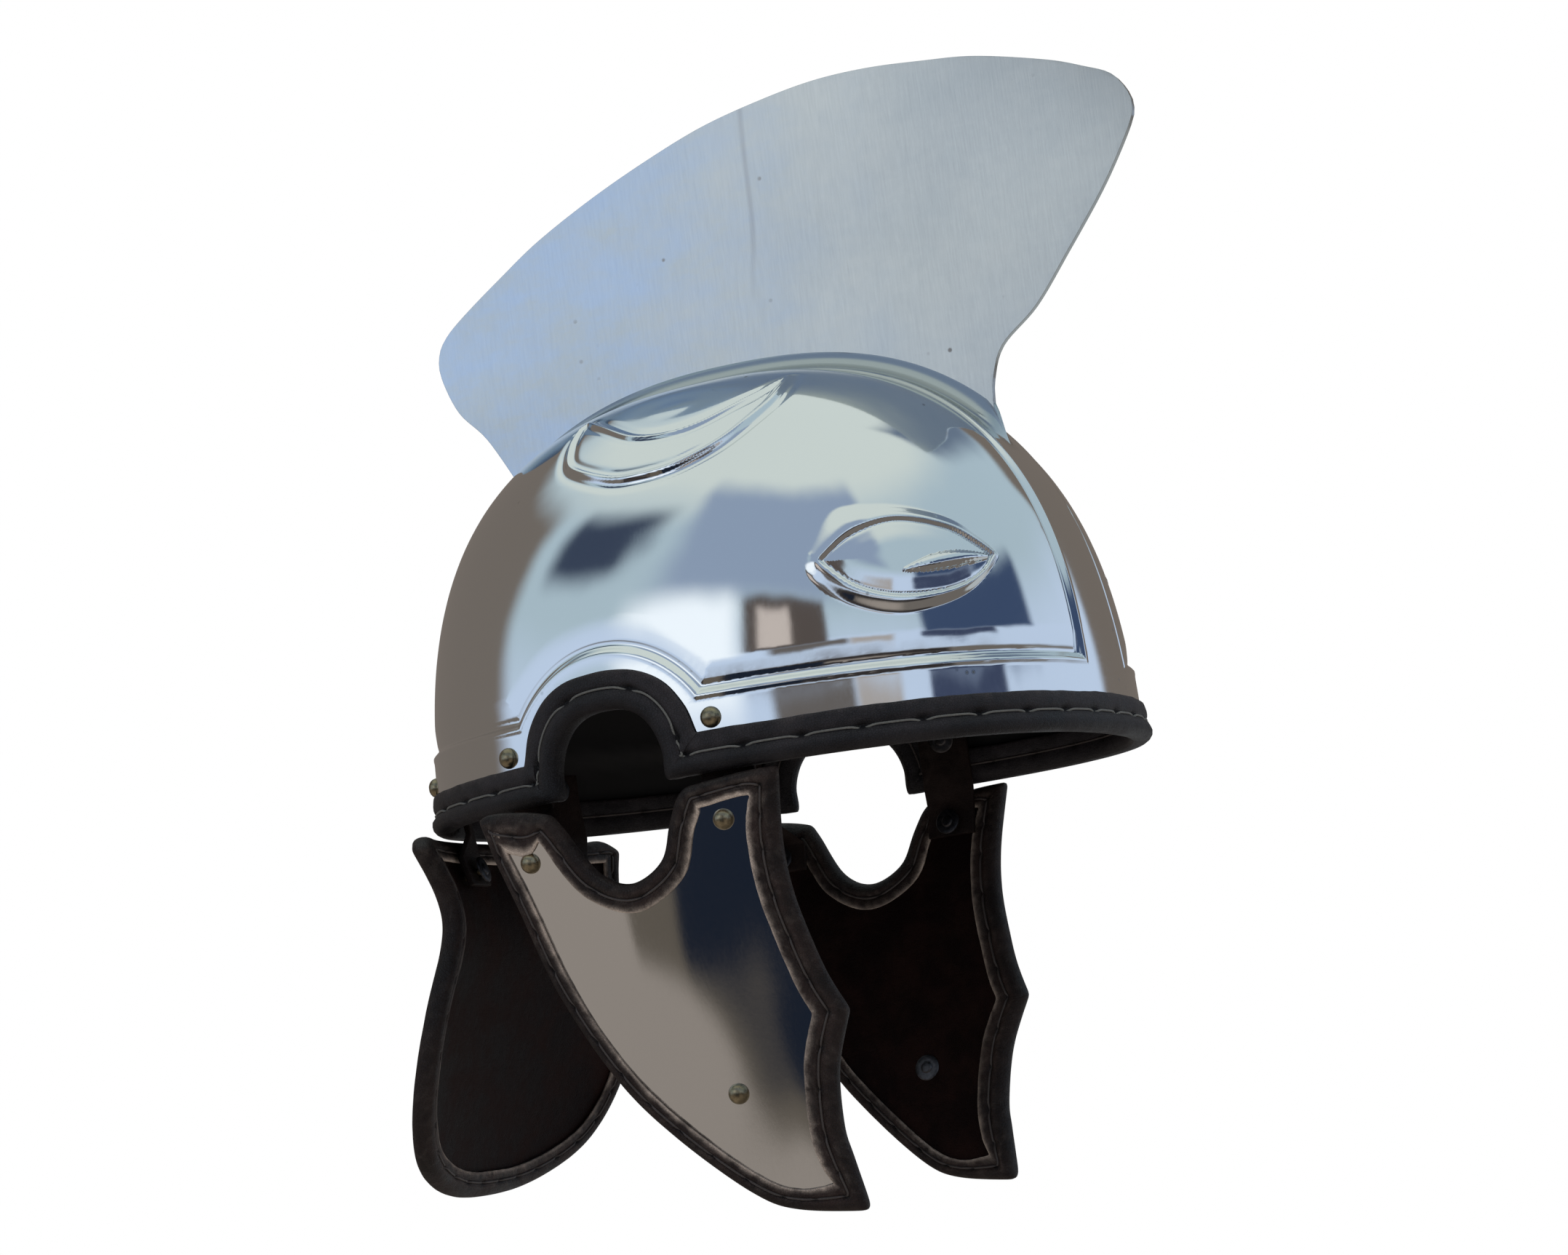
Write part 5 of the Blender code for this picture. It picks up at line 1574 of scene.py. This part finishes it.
def inner_sheets(nodes, outline, place, seed):
    """The steel plate and the leather backing that an edging holds."""
    for what, depth, thick, finish, slot, cell in EDGED_SHEETS:
        sheet = flat_sheet(nodes[what], outline, cell)
        flat = vertex_places(sheet)
        deep = np.full(len(flat), depth * sizes().stack)
        if what == "plate":
            deep += dents(flat, PLATE_DENTS, seed)
        place_vertices(sheet, place(flat[:, 0], flat[:, 1], deep))
        apply_modifier(sheet, "SOLIDIFY", thickness=thick, offset=0.0)
        close_up(sheet)
        finish_piece(sheet, finishes()[finish], slot, [nodes[what]], 40)
        apply_modifier(sheet, "WEIGHTED_NORMAL", weight=60, keep_sharp=True)


def edged_piece(kind, word, nodes, outline, corners, laps, place, seed):
    """A steel plate and its leather backing in a stitched leather edging."""
    outline = np.asarray(outline, float)
    rows = np.concatenate([outline, inset_loop(outline, laps)], 1)
    line = smooth_loop(rows, corners, FOLD_STEP)
    fold = soften_corners(line[:, :2], 3)
    low = smooth_step((fold[:, 1].min() + BLUNT_HEIGHT - fold[:, 1]) / BLUNT_HEIGHT)[:, None]
    fold += low * (soften_corners(fold, BLUNT_ROUNDS) - fold)
    lap = soften_corners(line[:, 2:], 2)
    along, total = way_along(fold)
    waver = rough_edge(along, total, seed)
    holes = stitch_holes(total, sizes().edge_stitch)
    near = from_hole(along, holes, total)
    stack = sizes().stack
    rings = np.zeros((len(fold), len(EDGE_SECTION), 3))
    for index, (across, depth, part) in enumerate(EDGE_SECTION):
        uneven = EDGE_WAVER if part in ("edge", "lap") else 0.0
        reach = across * (1 + uneven * waver)
        flat = fold + (lap - fold) * reach[:, None]
        deep = depth * stack + (1 if depth < 0.5 else -1) * EDGE_PINCH * pinch(across, near)
        if part not in ("stitch", "inside"):
            deep += EDGE_UNEVEN * rough_edge(along, total, seed + index)
        rings[:, index] = place(flat[:, 0], flat[:, 1], deep)
    top = smooth_step((fold[:, 1] - fold[:, 1].max() + WORN_TIP) / WORN_TIP)
    edging = folded_leather(nodes["edging"], rings, EDGE_SECTION, along, total, holes, seed, 1.0 + 0.9 * top)
    finish_piece(edging, finishes()["edging leather"], "brown_leather", [nodes["edging"]], 180)

    inward = lap - fold
    inset = fold + inward * (SHEET_INSET / np.maximum(np.linalg.norm(inward, axis=1), 1e-6))[:, None]
    inner_sheets(nodes, inset[:: max(1, round(len(inset) / SHEET_POINTS))], place, seed + 3)

    for face, index, sign in (("outer", EDGE_OUTER_STITCH, -1), ("inner", EDGE_INNER_STITCH, 1)):
        across, depth, _ = EDGE_SECTION[index]
        flat = fold + inward * across
        points = place(flat[:, 0], flat[:, 1], depth * stack + sign * thread_height(near))
        thread_piece(f"{kind}_thread_{face}_{word}", points, "dark thread", "brown_leather")


class HELMET_OT_cheek_pieces(bpy.types.Operator):
    """Cut, edge and stitch the two cheek pieces"""

    bl_idname = "helmet.cheek_pieces"
    bl_label = "Cheek pieces"

    def execute(self, context):
        outline = [
            (CHEEK_FRONT + back * CHEEK_WIDTH, CHEEK_TOP - down * CHEEK_DROP)
            for back, down, _, _ in CHEEK_OUTLINE
        ]
        laps = [row[2] * sizes().cheek_lap for row in CHEEK_OUTLINE]
        corners = [row[3] for row in CHEEK_OUTLINE]
        for side, word in ((-1, "right"), (1, "left")):
            nodes = {what: f"cheek_{what}_{word}" for what in ("plate", "backing", "edging")}
            edged_piece("cheek", word, nodes, outline, corners, laps, cheek_place(side), 20 + side)
        return {"FINISHED"}


class HELMET_OT_neck_guard(bpy.types.Operator):
    """Cut, edge and stitch the neck guard"""

    bl_idname = "helmet.neck_guard"
    bl_label = "Neck guard"

    def execute(self, context):
        half = [(out * NECK_HALF_WIDTH, NECK_TOP - down * NECK_DROP) for out, down, _ in NECK_OUTLINE]
        outline = half + [(-x, z) for x, z in reversed(half[1:-1])]
        corners = [row[2] for row in NECK_OUTLINE]
        corners = corners + corners[-2:0:-1]
        laps = [sizes().neck_lap] * len(outline)
        nodes = {what: f"neck_{what}" for what in ("plate", "backing", "edging")}
        edged_piece("neck", "back", nodes, outline, corners, laps, neck_place, 33)
        return {"FINISHED"}


def rim_curve(turn):
    """Points of the steel's plan curve on the wearer's right, at turns from the front to the back."""
    back = np.sin(turn)
    out = np.abs(np.cos(turn)) ** (2 / PLAN_POWER)
    x = -sizes().bowl_half_width * out * (1 - BACK_TAPER * back)
    y = sizes().bowl_half_length * np.copysign(np.abs(back) ** (2 / PLAN_POWER), back)
    return np.stack([x, y, 0 * x], -1)


def wall_points(y, z):
    """Points of the bowl's wall on the wearer's right at places along Y and heights."""
    starts = np.stack([0 * y, y, z], -1)
    rays = np.broadcast_to(np.array([-1.0, 0.0, 0.0]), starts.shape)
    return on_bowl(starts, rays)


def rim_line():
    """The rim binding's fold and lap edge round the whole helmet, as rows of six numbers."""
    size = sizes()
    lap = size.rim_lap
    arch_turn = np.linspace(0.0, math.pi, EAR_POINTS)

    def arch(grow):
        across = np.copysign(np.abs(np.cos(arch_turn)) ** (2 / EAR_POWER), -np.cos(arch_turn))
        up = np.sin(arch_turn) ** (2 / EAR_POWER)
        return EAR_Y + (size.ear_width + grow) * across, (size.ear_height + grow) * up

    fold_y, fold_z = arch(0.0)
    edge_y, edge_z = arch(lap)
    share_up = np.clip(fold_z / lap, 0, 1)
    beside = EAR_Y + np.copysign(size.ear_width + lap * (1.0 - 0.06 * share_up), edge_y - EAR_Y)
    edge_y = np.where(edge_z < lap, beside, edge_y)
    edge_z = np.maximum(edge_z, lap * (1.0 + 0.08 * share_up))
    corner = lap * CORNER_SHARE
    corner_front = math.asin((abs(fold_y[0] - corner) / size.bowl_half_length) ** (PLAN_POWER / 2))
    corner_back = math.asin(((fold_y[-1] + corner) / size.bowl_half_length) ** (PLAN_POWER / 2))
    front_turn = np.linspace(-math.pi / 2, -corner_front, ROUND_POINTS)
    back_turn = np.linspace(corner_back, math.pi / 2, ROUND_POINTS)

    def level(turn):
        low_points = rim_curve(turn)
        lean = (1 - (lap / size.bowl_height) ** SIDE_POWER_UP) ** (1 / SIDE_POWER_OUT)
        return low_points, low_points * lean + np.array([0.0, 0.0, lap])

    front_low, front_high = level(front_turn)
    back_low, back_high = level(back_turn)
    fold = np.concatenate([front_low, wall_points(fold_y, np.maximum(fold_z, 0.0)), back_low])
    edge = np.concatenate([front_high, wall_points(edge_y, edge_z), back_high])
    right = np.concatenate([fold, edge], 1)
    right[0, [0, 3]] = 0.0
    right[-1, [0, 3]] = 0.0
    left = right[-2:0:-1].copy()
    left[:, [0, 3]] *= -1
    return np.concatenate([right, left])


class HELMET_OT_rim_binding(bpy.types.Operator):
    """Fold and stitch the leather round the rim and the ear openings"""

    bl_idname = "helmet.rim_binding"
    bl_label = "Rim binding"

    def execute(self, context):
        size = sizes()
        rows = rim_line()
        closed = np.concatenate([rows, rows[:1]])
        gaps = np.linalg.norm(np.diff(closed[:, :3], axis=0), axis=1)
        line = smooth_line(closed, [max(2, round(gap / FOLD_STEP)) for gap in gaps])[:-1]
        fold = line[:, :3]
        edge = line[:, 3:]
        out_low = bowl_normals(np.maximum(fold, [[-1, -1, 0.001]]))
        out_high = bowl_normals(edge)
        along, total = way_along(fold)
        holes = stitch_holes(total, size.rim_stitch, 0.004)
        near = from_hole(along, holes, total)
        waver = rough_edge(along, total, 51)
        rings = np.zeros((len(line), len(RIM_SECTION), 3))

        def at(across, depth):
            out = out_low + (out_high - out_low) * across[:, None]
            out /= np.linalg.norm(out, axis=1, keepdims=True)
            return fold + (edge - fold) * across[:, None] + out * depth[:, None]

        for index, (across, depth, part) in enumerate(RIM_SECTION):
            reach = np.full(len(line), across)
            if part in ("edge", "lap") and across > 0.6:
                reach += RIM_WAVER * waver * (across - 0.6) / 0.4
            deep = depth - math.copysign(RIM_PINCH, depth) * pinch(across, near)
            if part not in ("stitch", "inside"):
                deep += RIM_UNEVEN * rough_edge(along, total, 60 + index)
            rings[:, index] = at(reach, deep)
        rings[:, :, 2] = np.maximum(rings[:, :, 2], 0.0)
        piece = folded_leather("rim_leather", rings, RIM_SECTION, along, total, holes, 70, 0.45)
        finish_piece(piece, finishes()["rim leather"], "rim_leather", ["rim_binding"], 180)
        high = thread_height(near)
        across, depth, _ = RIM_SECTION[RIM_OUTER_STITCH]
        points = at(across - STITCH_SAG * hump(near, 0.0, 0.0026), depth + high)
        thread_piece("rim_thread_outer", points, "rim thread", "rim_leather")
        across, depth, _ = RIM_SECTION[RIM_INNER_STITCH]
        points = at(np.full(len(line), across), depth - high)
        thread_piece("rim_thread_inner", points, "dark thread", "rim_leather")
        return {"FINISHED"}


def strap_piece(name, seed):
    """A strap taken over from its CAD node, with rounded edges and a little wear."""
    pick(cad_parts[name])
    bpy.ops.object.duplicate()
    piece = named(name + "_leather")
    for key in list(piece.keys()):
        del piece[key]
    piece.parent = None
    edit(piece)
    bpy.ops.mesh.remove_doubles(threshold=MERGE)
    bpy.ops.mesh.tris_convert_to_quads()
    leave_edit()
    round_edges(piece, 0.0004, 2)
    points = vertex_places(piece)
    add_values(piece, "wear", 0.25 + dents(points, STRAP_WEAR, seed))
    add_values(piece, "hole", np.zeros(len(points)))
    return piece


class HELMET_OT_straps(bpy.types.Operator):
    """Round the edges of the leather straps"""

    bl_idname = "helmet.straps"
    bl_label = "Straps"

    def execute(self, context):
        names = [f"{kind}_{word}" for word in ("right", "left") for kind in STRAP_KINDS]
        for index, name in enumerate(names):
            piece = strap_piece(name, index)
            finish_piece(piece, finishes()["strap leather"], "brown_leather", [name], 60)
        return {"FINISHED"}


def unit(vector):
    """A vector of length 1."""
    return vector / np.linalg.norm(vector)


def out_of_wall(wall):
    """The level way out of the bowl at a point of its wall."""
    return unit(bowl_normals(wall[None])[0] * np.array([1.0, 1.0, 0.0]))


def sheet_point(place, across, height):
    """The point where a rivet's head sits on a hanging piece's sheet."""
    return place(np.array([across]), np.array([height]), np.array([RIVET_SEAT]))[0]


def rivet_places():
    """Each rivet's face, outward axis and grip behind the face, by its CAD node's name."""
    found = {}
    for side, word in ((-1, "right"), (1, "left")):
        for where, y in BOWL_RIVET_Y.items():
            wall = wall_points(np.array([y]), np.array([BOWL_RIVET_Z]))[0] * np.array([-side, 1.0, 1.0])
            found[f"bowl_rivet_{where}_{word}"] = (wall, out_of_wall(wall), BOWL_GRIP)
        for where, (y, z) in CHEEK_RIVETS.items():
            out = unit(np.array([side, -cheek_slope(y), -CHEEK_SLOPE_IN]))
            grip = LOW_GRIP if where == "low" else STRAP_GRIP
            found[f"cheek_rivet_{where}_{word}"] = (sheet_point(cheek_place(side), y, z), out, grip)
        x = side * NECK_RIVET_X
        wall = on_bowl(np.array([[x, 0.0, BOWL_RIVET_Z]]), np.array([[0.0, 1.0, 0.0]]))[0]
        found[f"neck_rivet_top_{word}"] = (wall, out_of_wall(wall), BOWL_GRIP)
        face = sheet_point(neck_place, x, NECK_RIVET_Z)
        lean = (sheet_point(neck_place, x, NECK_RIVET_Z + 0.004)[1] - face[1]) / 0.004
        out = unit(np.array([x / NECK_RADIUS, 1.0, -lean]))
        found[f"neck_rivet_low_{word}"] = (face, out, STRAP_GRIP)
    return found


def turned_piece(name, profile, radius, face, out):
    """A round piece turned from a profile, standing on a face."""
    deselect()
    bpy.ops.mesh.primitive_circle_add(vertices=len(profile), radius=0.01)
    piece = named(name)
    place_vertices(piece, np.array([(share_out * radius, 0.0, up) for share_out, up in profile]))
    edit(piece)
    bpy.ops.mesh.spin(steps=32, angle=2 * math.pi, center=(0, 0, 0), axis=(0, 0, 1))
    leave_edit()
    close_up(piece, merge=MERGE / 2)
    turn = Vector(out).to_track_quat("Z", "Y").to_matrix().to_4x4()
    piece.data.transform(Matrix.Translation(Vector(face)) @ turn)
    piece.data.update()
    return piece


class HELMET_OT_rivets(bpy.types.Operator):
    """Turn the domed rivets and their washers"""

    bl_idname = "helmet.rivets"
    bl_label = "Rivets"

    def execute(self, context):
        made = finishes()
        size = sizes()
        for name, (face, out, grip) in rivet_places().items():
            profile = [*RIVET_HEAD, (RIVET_SHANK, -grip), (0.0, -grip)]
            piece = turned_piece(name + "_head", profile, size.rivet_radius, face, out)
            finish_piece(piece, made["antique brass"], "brass", [name], 50)
            back = face - out * (grip + WASHER_GAP)
            piece = turned_piece(name + "_washer", WASHER_RING, size.washer_radius, back, out)
            finish_piece(piece, made["washer steel"], "brass", (), 50)
        return {"FINISHED"}


class HELMET_OT_stage(bpy.types.Operator):
    """Set the floor, the studio light and the camera"""

    bl_idname = "helmet.stage"
    bl_label = "Stage"

    def execute(self, context):
        stage = context.scene.helmet_stage
        deselect()
        bpy.ops.mesh.primitive_plane_add(size=8.0, location=(0.0, 0.0, 0.0))
        floor = named("studio_floor")
        edit(floor)
        bpy.ops.transform.translate(value=(0.0, 0.0, stage.floor))
        leave_edit()
        floor.data.materials.append(pale_floor())
        floor.visible_glossy = False
        studio_world(context)
        studio_lights(stage)
        studio_camera(context, stage)
        view = context.scene.view_settings
        view.view_transform = "Standard"
        view.look = "None"
        return {"FINISHED"}


def studio_card(tree, place, bearing, height, card):
    """How much of a card is seen at a bearing and a height."""
    _, middle, up, wide, high, soft, slant, _ = card
    beside = sum_node(tree, "WRAP", place, sum_node(tree, "SUBTRACT", place, bearing, middle), 180.0, -180.0)
    above = sum_node(tree, "SUBTRACT", place, height, up)
    leaning = sum_node(tree, "MULTIPLY_ADD", place, beside, -slant, above)
    across = ramp(tree, place, sum_node(tree, "ABSOLUTE", place, beside), wide + soft / 2, wide - soft / 2)
    upward = ramp(tree, place, sum_node(tree, "ABSOLUTE", place, leaning), high + soft / 2, high - soft / 2)
    return sum_node(tree, "MULTIPLY", place, across, upward)


def studio_world(context):
    """The room that the steel reflects: a pale ceiling, taupe walls and a few light and dark cards."""
    world = bpy.data.worlds.new("studio")
    context.scene.world = world
    world.use_nodes = True
    tree = world.node_tree
    tree.nodes.clear()
    place = node(tree, "ShaderNodeTexCoord", (-2400, 0)).outputs["Generated"]
    uneven = noise(tree, (-2200, -200), place, Scale=3.5, Detail=2.0)["Color"]
    centred = vector_node(tree, "SUBTRACT", (-2000, -200), {0: uneven, 1: (0.5, 0.5, 0.5)})
    small = vector_node(tree, "SCALE", (-1900, -200), {0: centred, "Scale": 0.10})
    moved = vector_node(tree, "ADD", (-1800, 0), {0: place, 1: small})
    straight = vector_node(tree, "NORMALIZE", (-1700, 0), {0: moved})
    apart = node(tree, "ShaderNodeSeparateXYZ", (-1600, 0), {0: straight}).outputs
    ahead = sum_node(tree, "MULTIPLY", (-1500, 0), apart["Y"], -1.0)
    turn = sum_node(tree, "ARCTAN2", (-1400, 0), apart["X"], ahead)
    bearing = sum_node(tree, "DEGREES", (-1300, 0), turn)
    rise = sum_node(tree, "ARCSINE", (-1400, -200), apart["Z"])
    height = sum_node(tree, "DEGREES", (-1300, -200), rise)
    low = ramp(tree, (-1100, 200), height, -4.0, 3.0)
    middle = ramp(tree, (-1100, 0), height, 8.0, 24.0)
    ceiling = ramp(tree, (-1100, -200), height, 40.0, 60.0)
    tone = mix_colours(tree, (-900, 200), low, (0.17, 0.15, 0.135), (0.60, 0.72, 0.92))
    tone = mix_colours(tree, (-800, 200), middle, tone, (0.46, 0.58, 0.66))
    tone = mix_colours(tree, (-700, 200), ceiling, tone, (0.70, 0.77, 0.745))
    for index, card in enumerate(STUDIO_CARDS):
        spot = (-500 + 150 * index, -250 * index)
        tone = mix_colours(tree, spot, studio_card(tree, spot, bearing, height, card), tone, card[-1])
    seen = node(tree, "ShaderNodeBackground", (1600, 0), {"Color": tone, "Strength": 1.0}).outputs[0]
    white = node(tree, "ShaderNodeBackground", (1600, 200), {"Color": (1.0, 1.0, 1.0)}).outputs[0]
    to_camera = node(tree, "ShaderNodeLightPath", (1600, 500)).outputs["Is Camera Ray"]
    mixed = node(tree, "ShaderNodeMixShader", (1800, 100), {0: to_camera, 1: seen, 2: white}).outputs[0]
    node(tree, "ShaderNodeOutputWorld", (2000, 100), {"Surface": mixed})


def studio_lights(stage):
    """Two soft lights for the leather and the floor."""
    for name, place, size, power in STUDIO_LIGHTS:
        deselect()
        bpy.ops.object.light_add(type="AREA", location=place)
        light = bpy.context.object
        light.name = name
        light.data.size = size
        light.data.energy = power * stage.light
        light.visible_glossy = False
        aim = Vector(HOLLOW_MIDDLE) - Vector(place)
        light.rotation_euler = aim.to_track_quat("-Z", "Y").to_euler()


def studio_camera(context, stage):
    """The camera at the photograph's angle."""
    turn = math.radians(stage.azimuth)
    rise = math.radians(stage.elevation)
    roll = math.radians(stage.roll)
    back = Vector((math.sin(turn) * math.cos(rise), -math.cos(turn) * math.cos(rise), math.sin(rise)))
    right = (-back).cross(Vector((0.0, 0.0, 1.0))).normalized()
    up = right.cross(-back)
    level = math.cos(roll) * right + math.sin(roll) * up
    upright = -math.sin(roll) * right + math.cos(roll) * up
    deselect()
    bpy.ops.object.camera_add()
    camera = bpy.context.object
    camera.name = "photo_camera"
    camera.data.lens = stage.lens
    camera.data.sensor_width = SENSOR_WIDTH
    place = Vector(CAMERA_AIM) + back * stage.distance
    turned = Matrix((level, upright, back)).transposed().to_4x4()
    camera.matrix_world = Matrix.Translation(place) @ turned
    context.scene.camera = camera


class HELMET_PT_pieces(bpy.types.Panel):
    """Lists the helmet's pieces"""

    bl_label = "Late Roman Helmet"
    bl_idname = "HELMET_PT_pieces"
    bl_space_type = "VIEW_3D"
    bl_region_type = "UI"
    bl_category = "Helmet"

    def draw(self, context):
        for piece in PIECES:
            self.layout.operator(piece.bl_idname)
        for group in (context.scene.helmet_sizes, context.scene.helmet_colours, context.scene.helmet_stage):
            box = self.layout.box()
            for name in group.__annotations__:
                box.prop(group, name)


PIECES = (
    HELMET_OT_stage,
    HELMET_OT_bowl,
    HELMET_OT_comb,
    HELMET_OT_rim_binding,
    HELMET_OT_cheek_pieces,
    HELMET_OT_neck_guard,
    HELMET_OT_straps,
    HELMET_OT_rivets,
)
CLASSES = (HelmetSizes, HelmetColours, HelmetStage, *PIECES, HELMET_PT_pieces)


def register():
    """Add the classes and their settings to Blender."""
    for made in CLASSES:
        bpy.utils.register_class(made)
    bpy.types.Scene.helmet_sizes = bpy.props.PointerProperty(type=HelmetSizes)
    bpy.types.Scene.helmet_colours = bpy.props.PointerProperty(type=HelmetColours)
    bpy.types.Scene.helmet_stage = bpy.props.PointerProperty(type=HelmetStage)


def unregister():
    """Take the classes and their settings out again."""
    del bpy.types.Scene.helmet_stage
    del bpy.types.Scene.helmet_colours
    del bpy.types.Scene.helmet_sizes
    for made in reversed(CLASSES):
        bpy.utils.unregister_class(made)


def main():
    """Build the helmet."""
    register()
    bpy.ops.helmet.stage()
    bpy.ops.helmet.bowl()
    bpy.ops.helmet.comb()
    bpy.ops.helmet.rim_binding()
    bpy.ops.helmet.cheek_pieces()
    bpy.ops.helmet.neck_guard()
    bpy.ops.helmet.straps()
    bpy.ops.helmet.rivets()


if __name__ == "__main__":
    main()
